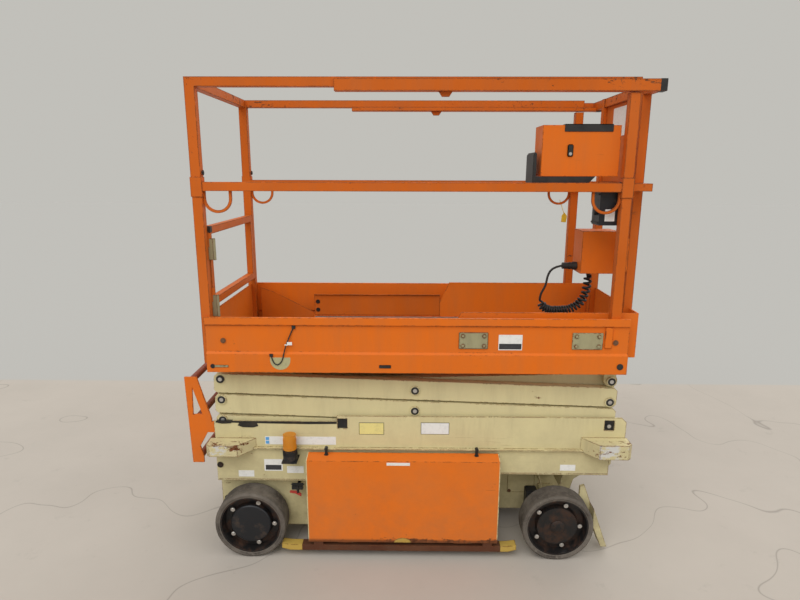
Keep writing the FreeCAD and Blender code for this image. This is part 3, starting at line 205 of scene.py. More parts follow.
@dataclass(frozen=True)
class WornPaint:
    """Sprayed steel that has been scraped at its edges and has dust and rust on it."""

    name: str
    fresh: Colour
    faded: Colour
    rust: Colour = (0.085, 0.03, 0.012)
    grime: Colour = (0.16, 0.125, 0.08)
    wear: float = 0.5
    dirt: float = 0.35
    gloss: float = 0.48
    ground_dirt: float = 0.3
    other: Colour | None = None
    other_axis: str = "Z"
    other_range: tuple[float, float] = (0.0, 0.0)
    rusty_below: float = 0.0
    worn_beyond: float = 0.0
    worn_above: float = 0.0
    scratches: float = 0.4

    def second_coat(self, g: Graph, paint: bpy.types.NodeSocket) -> bpy.types.NodeSocket:
        """The other colour, where the piece lies outside its range along one axis."""
        place = g.node("ShaderNodeSeparateXYZ", Vector=g.place).outputs[self.other_axis]
        low, high = self.other_range
        outside = g.maths("MAXIMUM", g.ramp(place, low - 0.0004, low, 1.0, 0.0), g.ramp(place, high, high + 0.0004))
        return g.mix(outside, paint, self.other)

    def build(self) -> bpy.types.Material:
        """Make the material."""
        g = Graph(self.name)
        patches = g.ramp(g.noise(2.3, 5.0, 0.62), 0.35, 0.7)
        streaks = g.ramp(g.noise(6.0, 6.0, 0.7, g.stretched((2.2, 2.2, 0.35))), 0.42, 0.75)
        paint = g.mix(patches, self.fresh, self.faded)
        if self.other:
            paint = self.second_coat(g, paint)
        film = g.maths("MULTIPLY", streaks, self.dirt)
        low = g.maths("MULTIPLY", g.height(self.ground_dirt, 0.05, 0.75), g.ramp(g.noise(11.0, 6.0, 0.7), 0.25, 0.7))
        soiled = g.mix(g.maths("MAXIMUM", film, low), paint, self.grime)
        grain = g.noise(46.0, 6.0, 0.75)
        corners = g.edges(0.007, 0.86, 0.995)
        zone = g.ramp(g.noise(3.1, 3.0, 0.6, g.stretched((1.0, 1.0, 1.0), (3.1, 7.7, 1.3))), 0.38, 0.62, -0.10, 0.05)
        if self.rusty_below:
            level = g.node("ShaderNodeSeparateXYZ", Vector=g.place).outputs["Z"]
            zone = g.maths("ADD", zone, g.ramp(level, self.rusty_below, self.rusty_below + 0.022, 0.20, 0.0))
            band = g.ramp(level, self.rusty_below - 0.003, self.rusty_below + 0.008, 0.85, 0.0)
            soiled = g.mix(band, soiled, tuple(c * 1.6 for c in self.rust))
        if self.worn_above:
            level = g.node("ShaderNodeSeparateXYZ", Vector=g.place).outputs["Z"]
            zone = g.maths("ADD", zone, g.ramp(level, self.worn_above, self.worn_above + 0.03, 0.0, 0.075))
        if self.worn_beyond:
            reach = g.maths("ABSOLUTE", g.node("ShaderNodeSeparateXYZ", Vector=g.place).outputs["Y"])
            zone = g.maths("ADD", zone, g.ramp(reach, self.worn_beyond, self.worn_beyond + 0.01, 0.0, 0.13))
            rubbed = g.ramp(g.noise(15.0, 6.0, 0.75, g.stretched((0.6, 1.0, 1.3))), 0.52, 0.56)
            rubbed = g.maths("MULTIPLY", rubbed, g.ramp(reach, 0.3755, 0.3775))
            soiled = g.mix(rubbed, soiled, (0.60, 0.59, 0.55))
        edge_limit = g.maths("ADD", g.maths("MULTIPLY", corners, 0.14 + 0.16 * self.wear), grain)
        chips = g.ramp(g.maths("ADD", edge_limit, zone), 0.70, 0.73)
        spots = g.ramp(g.maths("ADD", g.noise(19.0, 7.0, 0.78, g.stretched((0.6, 1.0, 1.4), (1.7, 0.4, 9.2))), zone),
                       0.703 - 0.03 * self.wear, 0.722 - 0.03 * self.wear)
        scored = g.ramp(g.noise(7.0, 5.0, 0.7, g.stretched((0.5, 0.5, 17.0), (5.3, 2.2, 0.7))), 0.66, 0.70)
        scored = g.maths("MULTIPLY", scored, g.ramp(g.noise(2.7, 2.0, 0.5, g.stretched((1.0, 1.0, 1.0), (9.1, 3.3, 4.4))), 0.5, 0.62))
        soiled = g.mix(g.maths("MULTIPLY", scored, self.scratches), soiled, self.rust)
        bare = g.maths("MAXIMUM", chips, spots)
        old = g.mix(g.ramp(g.noise(70.0, 4.0, 0.7), 0.35, 0.65), self.rust, tuple(c * 2.6 for c in self.rust))
        colour = g.mix(bare, soiled, old)
        roughness = g.blend(bare, g.ramp(g.noise(8.0, 4.0), 0.3, 0.7, self.gloss - 0.06, self.gloss + 0.12), 0.86)
        soft = g.node("ShaderNodeBevel", Radius=0.0025)
        soft.samples = 4
        peel = g.bump(g.noise(260.0, 2.0, 0.5), 0.0002, 0.25, soft.outputs[0])
        normal = g.bump(g.maths("SUBTRACT", 1.0, bare), 0.0004, 0.5, peel)
        return g.done(colour, roughness, normal, Specular_IOR_Level=0.16)


@dataclass(frozen=True)
class SolidTyre:
    """Hard grey-brown rubber, scuffed pale where it rolls."""

    name: str
    rubber: Colour = (0.060, 0.050, 0.042)
    dust: Colour = (0.23, 0.20, 0.165)

    def build(self) -> bpy.types.Material:
        """Make the material."""
        g = Graph(self.name)
        cloud = g.ramp(g.noise(7.0, 7.0, 0.72), 0.38, 0.68)
        scuffs = g.ramp(g.noise(34.0, 7.0, 0.8), 0.5, 0.72)
        worn = g.maths("MAXIMUM", g.maths("MULTIPLY", cloud, 0.75), scuffs)
        edge = g.maths("MULTIPLY", g.edges(0.008, 0.9, 0.99), 0.6)
        colour = g.mix(g.maths("MAXIMUM", worn, edge), self.rubber, self.dust)
        normal = g.bump(g.noise(120.0, 8.0, 0.8), 0.0012, 0.7)
        return g.done(colour, 0.88, normal, Specular_IOR_Level=0.3)


@dataclass(frozen=True)
class Metal:
    """Bare, plated or greasy steel."""

    name: str
    tint: Colour
    stain: Colour
    metallic: float = 0.9
    roughness: float = 0.4
    stained: float = 0.4

    def build(self) -> bpy.types.Material:
        """Make the material."""
        g = Graph(self.name)
        share = g.ramp(g.noise(17.0, 7.0, 0.72), 0.66 - 0.3 * self.stained, 0.78 - 0.2 * self.stained)
        colour = g.mix(share, self.tint, self.stain)
        rough = g.blend(share, self.roughness, min(1.0, self.roughness + 0.35))
        normal = g.bump(g.noise(180.0, 5.0, 0.7), 0.0003, 0.4)
        return g.done(colour, rough, normal, Metallic=self.metallic)


@dataclass(frozen=True)
class Plastic:
    """Moulded plastic or rubber with a fine grain and a film of dust."""

    name: str
    tint: Colour
    dust: Colour = (0.20, 0.18, 0.15)
    roughness: float = 0.55
    dusty: float = 0.3
    clear: float = 0.0

    def build(self) -> bpy.types.Material:
        """Make the material."""
        g = Graph(self.name)
        film = g.maths("MULTIPLY", g.ramp(g.noise(14.0, 6.0, 0.7), 0.4, 0.75), self.dusty)
        colour = g.mix(film, self.tint, self.dust)
        normal = g.bump(g.noise(340.0, 3.0, 0.6), 0.0002, 0.35)
        return g.done(colour, self.roughness, normal, Transmission_Weight=self.clear)


@dataclass(frozen=True)
class Label:
    """A blank vinyl or painted marking with scuffed edges."""

    name: str
    tint: Colour
    scuffed: float = 0.35

    def build(self) -> bpy.types.Material:
        """Make the material."""
        g = Graph(self.name)
        worn = g.maths("MULTIPLY", g.ramp(g.noise(60.0, 6.0, 0.75), 0.5, 0.68), self.scuffed)
        colour = g.mix(worn, self.tint, tuple(0.45 * c + 0.08 for c in self.tint))
        return g.done(colour, g.ramp(g.noise(20.0), 0.3, 0.7, 0.35, 0.55))


MADE: dict[str, bpy.types.Material] = {}


class Finish(Enum):
    """Every finish of the machine."""

    ORANGE = WornPaint("orange_coat", (0.76, 0.158, 0.008), (0.70, 0.165, 0.020), wear=0.6, dirt=0.14)
    DECK = WornPaint("deck_coat", (0.76, 0.158, 0.008), (0.70, 0.165, 0.020), wear=0.65, dirt=0.14,
                     other=(0.62, 0.56, 0.31), other_range=(0.8495, 3.0))
    COVER = WornPaint("cover_coat", (0.78, 0.170, 0.010), (0.72, 0.180, 0.024), wear=0.5, dirt=0.10,
                      other=(0.66, 0.585, 0.325), other_axis="X", other_range=(-0.4190, 0.3910), rusty_below=0.088,
                      scratches=0.55)
    # Darker copy of the orange paint for the rails and the parts that run with them: painted shade, since the rails
    # catch less light than the covers.
    RAIL = WornPaint("rail_shaded_coat", (0.56, 0.112, 0.006), (0.62, 0.135, 0.014), wear=1.0, dirt=0.16, scratches=0.6,
                    worn_above=1.930)
    CREAM = WornPaint("cream_coat", (0.70, 0.620, 0.345), (0.64, 0.570, 0.33), wear=0.55, dirt=0.18, ground_dirt=0.45)
    FRAME = WornPaint("frame_coat", (0.70, 0.620, 0.345), (0.62, 0.545, 0.31), wear=0.95, dirt=0.30, ground_dirt=0.6,
                     worn_beyond=0.326)
    PLATE = WornPaint("plate_coat", (0.42, 0.385, 0.215), (0.30, 0.28, 0.17), wear=0.8, dirt=0.5)
    TIP = WornPaint("tip_coat", (0.55, 0.37, 0.075), (0.47, 0.30, 0.06), wear=1.0, dirt=0.4)
    SKID = WornPaint("skid_coat", (0.075, 0.018, 0.009), (0.13, 0.040, 0.016), wear=1.0, dirt=0.3,
                     other=(0.55, 0.37, 0.075), other_axis="X", other_range=(-0.452, 0.410))
    RUNG = WornPaint("rung_coat", (0.22, 0.045, 0.022), (0.30, 0.07, 0.03), wear=0.8, dirt=0.3)
    TYRE = SolidTyre("solid_tyre")
    HUB = Metal("greasy_steel", (0.013, 0.012, 0.012), (0.060, 0.027, 0.014), 0.25, 0.42, 0.6)
    DARK = Metal("blackened_steel", (0.020, 0.021, 0.024), (0.085, 0.06, 0.045), 0.4, 0.45, 0.4)
    BRIGHT = Metal("zinc_steel", (0.62, 0.61, 0.59), (0.30, 0.24, 0.18), 0.95, 0.34, 0.25)
    CHROME = Metal("chromed_rod", (0.72, 0.72, 0.73), (0.42, 0.41, 0.40), 1.0, 0.14, 0.1)
    TREAD = Metal("tread_plate", (0.33, 0.31, 0.28), (0.20, 0.16, 0.12), 0.55, 0.5, 0.5)
    # Near-black finish of the channel's top strip: painted shade of the gap under the arms, partly grease.
    GREASE = Metal("old_grease", (0.012, 0.011, 0.010), (0.045, 0.032, 0.020), 0.0, 0.35, 0.5)
    RUST = Metal("rusty_steel", (0.16, 0.075, 0.035), (0.27, 0.15, 0.08), 0.1, 0.85, 0.6)
    BLACK = Plastic("black_coat", (0.007, 0.007, 0.008), dusty=0.12)
    RUBBER = Plastic("rubber_coat", (0.008, 0.008, 0.008), roughness=0.6, dusty=0.18)
    AMBER = Plastic("amber_lens", (0.80, 0.30, 0.010), roughness=0.28, dusty=0.15, clear=0.25)
    RED = Plastic("red_plastic", (0.42, 0.03, 0.02))
    YELLOW = Plastic("yellow_plastic", (0.75, 0.52, 0.02), dusty=0.2)
    WHITE_LABEL = Label("white_label", (0.80, 0.80, 0.77))
    YELLOW_LABEL = Label("yellow_label", (0.80, 0.70, 0.26))
    BLUE_LABEL = Label("blue_label", (0.10, 0.36, 0.72))
    DARK_LABEL = Label("dark_label", (0.03, 0.03, 0.035))
    PATCH = Label("bare_patch", (0.45, 0.42, 0.22), 0.7)

    @property
    def material(self) -> bpy.types.Material:
        """The finish's material, made once."""
        if self.name not in MADE:
            MADE[self.name] = self.value.build()
        return MADE[self.name]


class Solid:
    """One mesh piece, put together from simple solids in the frame's metres."""

    def __init__(self, name: str) -> None:
        """Start an empty piece.

        Args:
            name: the object's name.
        """
        self.name = name
        self.bm = bmesh.new()

    def _round(self, made: list, bevel: float, segments: int = 2) -> None:
        """Bevel the edges of the faces just made."""
        if bevel > 0:
            edges = [e for e in {e for v in made for e in v.link_edges} if e.calc_face_angle(0.0) > 0.5]
            bmesh.ops.bevel(self.bm, geom=edges, offset=bevel, segments=segments, affect="EDGES", clamp_overlap=True)

    def block(self, low: Point, high: Point, bevel: float = 0.0) -> "Solid":
        """A box between two corners."""
        size = [b - a for a, b in zip(low, high)]
        middle = [(a + b) / 2 for a, b in zip(low, high)]
        made = bmesh.ops.create_cube(self.bm, matrix=Matrix.Translation(middle) @ Matrix.Diagonal((*size, 1.0)))
        self._round(made["verts"], bevel)
        return self

    def rod(self, start: Point, end: Point, radius: float, sides: int = 20, bevel: float = 0.0,
            tip: float | None = None) -> "Solid":
        """A round bar or cone between two points."""
        begin, finish = Vector(start), Vector(end)
        line = finish - begin
        turn = line.to_track_quat("Z", "Y").to_matrix().to_4x4()
        made = bmesh.ops.create_cone(
            self.bm, cap_ends=True, segments=sides, radius1=radius, radius2=radius if tip is None else tip,
            depth=line.length, matrix=Matrix.Translation((begin + finish) / 2) @ turn)
        self._round(made["verts"], bevel)
        return self

    def prism(self, points: list[tuple[float, float]], axis: Axis, low: float, high: float,
              bevel: float = 0.0) -> "Solid":
        """A flat outline pushed along an axis; the outline's two numbers are the other axes in order."""
        def lift(pair: tuple[float, float], level: float) -> Point:
            first, second = pair
            if axis is Axis.X:
                return (level, first, second)
            return (first, level, second) if axis is Axis.Y else (first, second, level)
        count = len(points)
        rings = [[self.bm.verts.new(lift(pair, level)) for pair in points] for level in (low, high)]
        faces = [self.bm.faces.new(rings[0]), self.bm.faces.new(rings[1])]
        for i in range(count):
            j = (i + 1) % count
            faces.append(self.bm.faces.new((rings[0][i], rings[0][j], rings[1][j], rings[1][i])))
        bmesh.ops.recalc_face_normals(self.bm, faces=faces)
        self._round(rings[0] + rings[1], bevel)
        return self

    def lathe(self, profile: list[tuple[float, float]], centre: Point, sides: int = 48) -> "Solid":
        """A closed profile of (radius, offset along Y) turned about an axis along Y through a centre."""
        rings = []
        for k in range(sides):
            angle = 2 * math.pi * k / sides
            rings.append([self.bm.verts.new((
                centre[0] + r * math.cos(angle), centre[1] + y, centre[2] + r * math.sin(angle)))
                for r, y in profile])
        count = len(profile)
        faces = []
        for k in range(sides):
            here, there = rings[k], rings[(k + 1) % sides]
            for i in range(count):
                j = (i + 1) % count
                faces.append(self.bm.faces.new((here[i], here[j], there[j], there[i])))
        bmesh.ops.recalc_face_normals(self.bm, faces=faces)
        return self

    def dress(self, body: str, finish: Finish, slot: str | None = None) -> bpy.types.Object:
        """Turn the mesh into an object that rides on a body.

        Args:
            body: the body that carries it.
            finish: its finish.
            slot: the record's material slot, if it has one; not used.

        Returns:
            The object.
        """
        mesh = bpy.data.meshes.new(self.name)
        self.bm.normal_update()
        self.bm.to_mesh(mesh)
        self.bm.free()
        return dress_mesh(self.name, mesh, body, finish)


def dress_mesh(name: str, mesh: bpy.types.Mesh, body: str, finish: Finish) -> bpy.types.Object:
    """Make a mesh an object with smooth faces, a finish and a body to ride on."""
    mesh.materials.clear()
    mesh.materials.append(finish.material)
    mesh.shade_smooth()
    mesh.set_sharp_from_angle(angle=math.radians(38))
    piece = bpy.data.objects.new(name, mesh)
    bpy.context.scene.collection.objects.link(piece)
    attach(piece, body)
    return piece


class Repeat:
    """A Geometry Nodes tree that lays copies of one small shape on points, with named inputs."""

    def __init__(self, name: str, **sizes: float | int | Point) -> None:
        """Open a tree with a geometry input and one input for each size.

        Args:
            name: the tree's name.
            sizes: each input's name, with underscores for spaces, and its value.
        """
        self.tree = bpy.data.node_groups.new(name, "GeometryNodeTree")
        self.sizes = {key.replace("_", " "): value for key, value in sizes.items()}
        face = self.tree.interface
        face.new_socket("Geometry", in_out="OUTPUT", socket_type="NodeSocketGeometry")
        face.new_socket("Geometry", in_out="INPUT", socket_type="NodeSocketGeometry")
        self.keys = {}
        for key, value in self.sizes.items():
            kind = {int: "Int", float: "Float", tuple: "Vector"}[type(value)]
            made = face.new_socket(key, in_out="INPUT", socket_type=f"NodeSocket{kind}")
            self.keys[key] = made.identifier
        self.source = self.tree.nodes.new("NodeGroupInput").outputs
        self.sink = self.tree.nodes.new("NodeGroupOutput").inputs["Geometry"]

    def node(self, kind: str, **inputs: object) -> bpy.types.Node:
        """Add a node and feed its inputs by name, with underscores for spaces."""
        made = self.tree.nodes.new(kind)
        for name, value in inputs.items():
            socket = made.inputs[name.replace("_", " ")]
            if isinstance(value, bpy.types.NodeSocket):
                self.tree.links.new(value, socket)
            else:
                socket.default_value = value
        return made

    def maths(self, kind: str, first: object, second: object) -> bpy.types.NodeSocket:
        """One arithmetic step on two values."""
        made = self.tree.nodes.new("ShaderNodeMath")
        made.operation = kind
        for socket, value in zip(made.inputs, (first, second)):
            if isinstance(value, bpy.types.NodeSocket):
                self.tree.links.new(value, socket)
            else:
                socket.default_value = value
        return made.outputs[0]

    def vector(self, x: object, y: object, z: object) -> bpy.types.NodeSocket:
        """Three numbers as one vector."""
        return self.node("ShaderNodeCombineXYZ", X=x, Y=y, Z=z).outputs[0]

    def lay(self, points: bpy.types.NodeSocket, shape: bpy.types.NodeSocket, finish: Finish,
            rotation: bpy.types.NodeSocket | None = None, under: bpy.types.NodeSocket | None = None) -> None:
        """Lay the shape on the points, make the copies real and give them a finish."""
        laid = self.node("GeometryNodeInstanceOnPoints", Points=points, Instance=shape)
        if rotation is not None:
            self.tree.links.new(rotation, laid.inputs["Rotation"])
        real = self.node("GeometryNodeRealizeInstances", Geometry=laid.outputs[0]).outputs[0]
        if under is not None:
            joined = self.tree.nodes.new("GeometryNodeJoinGeometry")
            self.tree.links.new(real, joined.inputs[0])
            self.tree.links.new(under, joined.inputs[0])
            real = joined.outputs[0]
        painted = self.node("GeometryNodeSetMaterial", Geometry=real, Material=finish.material)
        self.tree.links.new(painted.outputs[0], self.sink)

    def grow(self, name: str, points: list[Point], body: str, finish: Finish) -> bpy.types.Object:
        """Run the tree on a few points and keep the result as one plain mesh piece.

        Args:
            name: the piece's name.
            points: where the tree works, in the frame's metres.
            body: the body that carries the piece.
            finish: the finish that the tree sets.

        Returns:
            The piece.
        """
        seeds = bpy.data.meshes.new(name + "_points")
        seeds.from_pydata(points, [], [])
        holder = bpy.data.objects.new(name + "_points", seeds)
        modifier = holder.modifiers.new("repeat", "NODES")
        modifier.node_group = self.tree
        for key, value in self.sizes.items():
            modifier[self.keys[key]] = value
        bpy.context.scene.collection.objects.link(holder)
        ready = holder.evaluated_get(bpy.context.evaluated_depsgraph_get())
        mesh = bpy.data.meshes.new_from_object(ready)
        holder.modifiers.remove(modifier)
        bpy.data.objects.remove(holder)
        return dress_mesh(name, mesh, body, finish)


def bolts(name: str, points: list[Point], facing: Axis, body: str, across: float = 0.013,
          height: float = 0.006, finish: Finish = Finish.BRIGHT) -> bpy.types.Object:
    """Hexagon bolt heads centred on points, with their flat ends along an axis."""
    turn = {Axis.X: (0.0, math.pi / 2, 0.0), Axis.Y: (math.pi / 2, 0.0, 0.0), Axis.Z: (0.0, 0.0, 0.0)}[facing]
    tree = Repeat(f"{name}_tree", Across=across, Height=height, Turn=turn)
    radius = tree.maths("MULTIPLY", tree.source["Across"], 0.577)
    head = tree.node("GeometryNodeMeshCylinder", Vertices=6, Radius=radius, Depth=tree.source["Height"])
    washer = tree.node("GeometryNodeMeshCylinder", Vertices=16, Radius=tree.maths("MULTIPLY", radius, 1.45),
                       Depth=tree.maths("MULTIPLY", tree.source["Height"], 0.4))
    both = tree.tree.nodes.new("GeometryNodeJoinGeometry")
    for part in (head, washer):
        tree.tree.links.new(part.outputs["Mesh"], both.inputs[0])
    rotation = tree.node("FunctionNodeEulerToRotation", Euler=tree.source["Turn"]).outputs[0]
    tree.lay(tree.source["Geometry"], both.outputs[0], finish, rotation)
    return tree.grow(name, points, body, finish)


def tread(name: str, low: Point, high: Point, body: str, pitch: float = 0.030) -> bpy.types.Object:
    """A thin raised-pattern plate between two corners, its studs turned this way and that."""
    middle = tuple((a + b) / 2 for a, b in zip(low, high))
    tree = Repeat(f"{name}_tree", Length=high[0] - low[0], Width=high[1] - low[1], Thick=high[2] - low[2],
                  Pitch=pitch, Stud=(0.021, 0.0055, 0.0016))
    spare = tree.maths("MULTIPLY", tree.source["Pitch"], 1.2)
    spans = [tree.maths("SUBTRACT", tree.source[key], spare) for key in ("Length", "Width")]
    counts = [tree.maths("ADD", tree.maths("DIVIDE", span, tree.source["Pitch"]), 1.0) for span in spans]
    grid = tree.node("GeometryNodeMeshGrid", Size_X=spans[0], Size_Y=spans[1], Vertices_X=counts[0],
                     Vertices_Y=counts[1]).outputs["Mesh"]
    raised = tree.node("GeometryNodeTransform", Geometry=grid, Translation=tree.vector(
        0.0, 0.0, tree.maths("MULTIPLY", tree.source["Thick"], 0.5))).outputs[0]
    plate = tree.node("GeometryNodeMeshCube", Size=tree.vector(
        tree.source["Length"], tree.source["Width"], tree.source["Thick"])).outputs["Mesh"]
    stud = tree.node("GeometryNodeMeshCone", Vertices=8, Radius_Top=0.30, Radius_Bottom=0.5, Depth=1.0)
    shape = tree.node("GeometryNodeTransform", Geometry=stud.outputs["Mesh"], Scale=tree.source["Stud"]).outputs[0]
    number = tree.tree.nodes.new("GeometryNodeInputIndex").outputs[0]
    rows = tree.maths("FLOOR", tree.maths("DIVIDE", number, tree.maths("FLOOR", counts[1], 0.0)), 0.0)
    quarter = tree.maths("MODULO", tree.maths("ADD", rows, number), 2.0)
    angle = tree.maths("ADD", tree.maths("MULTIPLY", quarter, math.pi / 2), math.pi / 4)
    rotation = tree.node("FunctionNodeEulerToRotation", Euler=tree.vector(0.0, 0.0, angle)).outputs[0]
    tree.lay(raised, shape, Finish.TREAD, rotation, plate)
    piece = tree.grow(name, [middle], body, Finish.TREAD)
    piece.data.transform(Matrix.Translation(middle))
    return piece


def ring_of_bars(name: str, centre: Point, radius: float, bar: Point, count: int, body: str,
                 finish: Finish) -> bpy.types.Object:
    """Upright bars in a ring about a vertical axis, such as the ribs of a lens."""
    tree = Repeat(f"{name}_tree", Count=count, Radius=radius, Bar=bar)
    circle = tree.node("GeometryNodeMeshCircle", Vertices=tree.source["Count"], Radius=tree.source["Radius"])
    shape = tree.node("GeometryNodeMeshCube", Size=tree.source["Bar"]).outputs["Mesh"]
    number = tree.tree.nodes.new("GeometryNodeInputIndex").outputs[0]
    step = tree.maths("DIVIDE", 2 * math.pi, tree.source["Count"])
    rotation = tree.node("FunctionNodeEulerToRotation", Euler=tree.vector(
        0.0, 0.0, tree.maths("MULTIPLY", number, step))).outputs[0]
    tree.lay(circle.outputs["Mesh"], shape, finish, rotation)
    piece = tree.grow(name, [centre], body, finish)
    piece.data.transform(Matrix.Translation(centre))
    return piece


def paint(finish: Finish, *nodes: str) -> None:
    """Give CAD nodes a finish through their material slots."""
    for name in nodes:
        for piece_slot in frame["nodes"][name].material_slots:
            piece_slot.material = finish.material
        LOG.info("%s: %s", name, finish.value.name)


def label(name: str, body: str, rows: list[tuple[Point, Point, Finish]]) -> None:
    """Blank stickers: thin sheets between two corners, one piece for each finish."""
    for finish in dict.fromkeys(row[2] for row in rows):
        sheet = Solid(f"{name}_{finish.value.name}")
        for low, high, own in rows:
            if own is finish:
                sheet.block(low, high, 0.0003)
        sheet.dress(body, finish)


@dataclass
class Chassis:
    """The base: channels, end boxes, ladder, beacon and what is stuck or bolted to them."""

    body: str = "chassis"
    channel_face: float = 0.305
    plate_face: float = 0.262
    nose_face: float = 0.1181
    sheet: float = 0.0008
    bolt: float = 0.016
    beacon: Point = (-0.493, -0.348, 0.509)
    beacon_radius: float = 0.027
    knob: Point = (-0.4725, -0.318, 0.300)

    def build(self) -> None:
        """Dress the base and add its fittings."""
        paint(Finish.FRAME, "chassis_frame", "side_channel_near", "side_channel_far")
        paint(Finish.HUB, "rear_axle")
        paint(Finish.ORANGE, "ladder")
        paint(Finish.SKID, "skid_bars")
        paint(Finish.BLACK, "battery_block", "lowering_knob")
        paint(Finish.DARK, "power_unit", "beacon_foot")
        paint(Finish.AMBER, "beacon_lens")
        self.stickers()
        self.bolts()
        self.grease()
        self.ports()
        self.drive()
        self.beacon_base()
        self.rungs()
        self.lens_ribs()
        self.lever()

    def on_channel(self, x0: float, z0: float, x1: float, z1: float, finish: Finish,
                   lift: float = 0.0) -> tuple[Point, Point, Finish]:
        """A sheet on the near channel's outer face, between two corners."""
        y = -self.channel_face - lift
        return (x0, y - self.sheet, z0), (x1, y, z1), finish

    def stickers(self) -> None:
        """Blank labels on the channel and the end plates."""
        lift = self.sheet
        label("channel_labels", self.body, [
            self.on_channel(-0.203, 0.548, -0.096, 0.603, Finish.DARK_LABEL),
            self.on_channel(-0.201, 0.550, -0.098, 0.601, Finish.YELLOW_LABEL, lift),
            self.on_channel(0.061, 0.551, 0.182, 0.605, Finish.DARK_LABEL),
            self.on_channel(0.063, 0.553, 0.180, 0.603, Finish.WHITE_LABEL, lift),
            self.on_channel(-0.608, 0.499, -0.303, 0.536, Finish.WHITE_LABEL),
            self.on_channel(-0.605, 0.519, -0.590, 0.533, Finish.BLUE_LABEL, lift),
            self.on_channel(-0.605, 0.502, -0.590, 0.516, Finish.BLUE_LABEL, lift),
            self.on_channel(-0.617, 0.374, -0.537, 0.429, Finish.WHITE_LABEL),
            self.on_channel(-0.611, 0.379, -0.543, 0.402, Finish.DARK_LABEL, lift),
            self.on_channel(-0.519, 0.364, -0.446, 0.397, Finish.WHITE_LABEL),
            self.on_channel(-0.731, 0.345, -0.663, 0.375, Finish.WHITE_LABEL),
            self.on_channel(0.664, 0.386, 0.730, 0.414, Finish.WHITE_LABEL),
        ])

    def grease(self) -> None:
        """Dark strips on the top of the near channel's rear end: the thin strip along the edge is painted shade of the
        gap under the arms, with black grease lumps where the rollers run.
        """
        face = -self.channel_face
        marks = Solid("track_grease")
        # Thin strip along the top edge: painted shade of the gap under the arms.
        marks.prism([(-0.748, 0.598), (-0.560, 0.5955), (-0.420, 0.594), (-0.2975, 0.596), (-0.2975, 0.6058), (-0.748, 0.6058)],
                    Axis.Y, face - 0.0012, face)
        marks.prism([(-0.722, 0.586), (-0.700, 0.578), (-0.655, 0.577), (-0.634, 0.584), (-0.640, 0.598), (-0.715, 0.598)],
                    Axis.Y, face - 0.0018, face)
        marks.prism([(-0.818, 0.600), (-0.790, 0.594), (-0.750, 0.596), (-0.744, 0.607), (-0.812, 0.607)],
                    Axis.Y, face - 0.0026, face + 0.010)
        marks.dress(self.body, Finish.GREASE)

    def ports(self) -> None:
        """What shows through the tie-down ports in the channels: dark plates, and a pin's end at the front."""
        plates, pins = Solid("port_plates"), Solid("port_pins")
        for side in Side:
            sign = side.value
            near, far = sorted((sign * 0.2962, sign * 0.2985))
            for x in (-0.295, 0.840):
                plates.block((x - 0.002, near, 0.571), (x + 0.044, far, 0.623))
            plates.rod((0.861, sign * 0.2985, 0.592), (0.861, sign * 0.3020, 0.592), 0.0150, 24, 0.001)
            pins.rod((0.861, sign * 0.3020, 0.592), (0.861, sign * 0.3032, 0.592), 0.0085, 24, 0.0006)
        plates.dress(self.body, Finish.BLACK)
        pins.dress(self.body, Finish.BRIGHT)

    def drive(self) -> None:
        """Drive motor in the nose, the plates over its openings and the stiffeners above the kingpin beams."""
        motor = Solid("drive_motor")
        motor.block((0.4780, -0.1080, 0.1830), (0.5915, 0.1080, 0.2680), 0.006)
        motor.rod((0.4700, 0.0, 0.2260), (0.4790, 0.0, 0.2260), 0.0340, 32, 0.002)
        motor.dress(self.body, Finish.BLACK)
        plates, points = Solid("nose_covers"), []
        for side in Side:
            near, far = sorted((side.value * self.nose_face, side.value * (self.nose_face + 0.002)))
            plates.block((0.4760, near, 0.1690), (0.6040, far, 0.2810), 0.0008)
            points += [(x, side.value * (self.nose_face + 0.004), z) for x in (0.486, 0.594) for z in (0.178, 0.272)]
            near, far = sorted((side.value * self.nose_face, side.value * 0.2250))
            plates.prism([(0.589, 0.331), (0.595, 0.331), (0.615, 0.262), (0.608, 0.262)], Axis.Y, near, far, 0.0008)
            plates.prism([(0.703, 0.331), (0.709, 0.331), (0.696, 0.262), (0.689, 0.262)], Axis.Y, near, far, 0.0008)
        plates.dress(self.body, Finish.FRAME)
        bolts("nose_bolts", points, Axis.Y, self.body, 0.010, 0.004, Finish.RUST)

    def bolts(self) -> None:
        """Bolt heads on the rear plate and the channel's ends."""
        bolts("rear_wall_bolts", [(-0.808, -self.channel_face - 0.003, 0.402)], Axis.Y, self.body, self.bolt,
              finish=Finish.HUB)
        bolts("rear_plate_bolts", [(-0.800, -self.plate_face - 0.003, 0.217)], Axis.Y, self.body, self.bolt,
              finish=Finish.HUB)

    def rungs(self) -> None:
        """Grip sleeves on the ladder's rungs."""
        low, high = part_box("ladder")
        sleeves = Solid("rung_sleeves")
        for x, z in ((low[0] + 0.024, high[2] - 0.020), (low[0] + 0.046, high[2] - 0.182), (low[0] + 0.034, low[2] + 0.016)):
            sleeves.rod((x, low[1] + 0.012, z), (x, high[1] - 0.012, z), 0.0145, 18, 0.002)
        sleeves.dress(self.body, Finish.RUNG)

    def beacon_base(self) -> None:
        """Ribbed black collar under the amber lens."""
        low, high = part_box("beacon_lens")
        x, y = (low[0] + high[0]) / 2, (low[1] + high[1]) / 2
        collar = Solid("beacon_collar")
        collar.rod((x, y, low[2] - 0.004), (x, y, low[2] + 0.018), 0.0290, 32, 0.0015)
        collar.rod((x, y, low[2] + 0.018), (x, y, low[2] + 0.023), 0.0300, 32, 0.001)
        collar.dress(self.body, Finish.BLACK)
        ring_of_bars("collar_ribs", (x, y, low[2] + 0.007), 0.0292, (0.0026, 0.0030, 0.020), 24, self.body, Finish.BLACK)

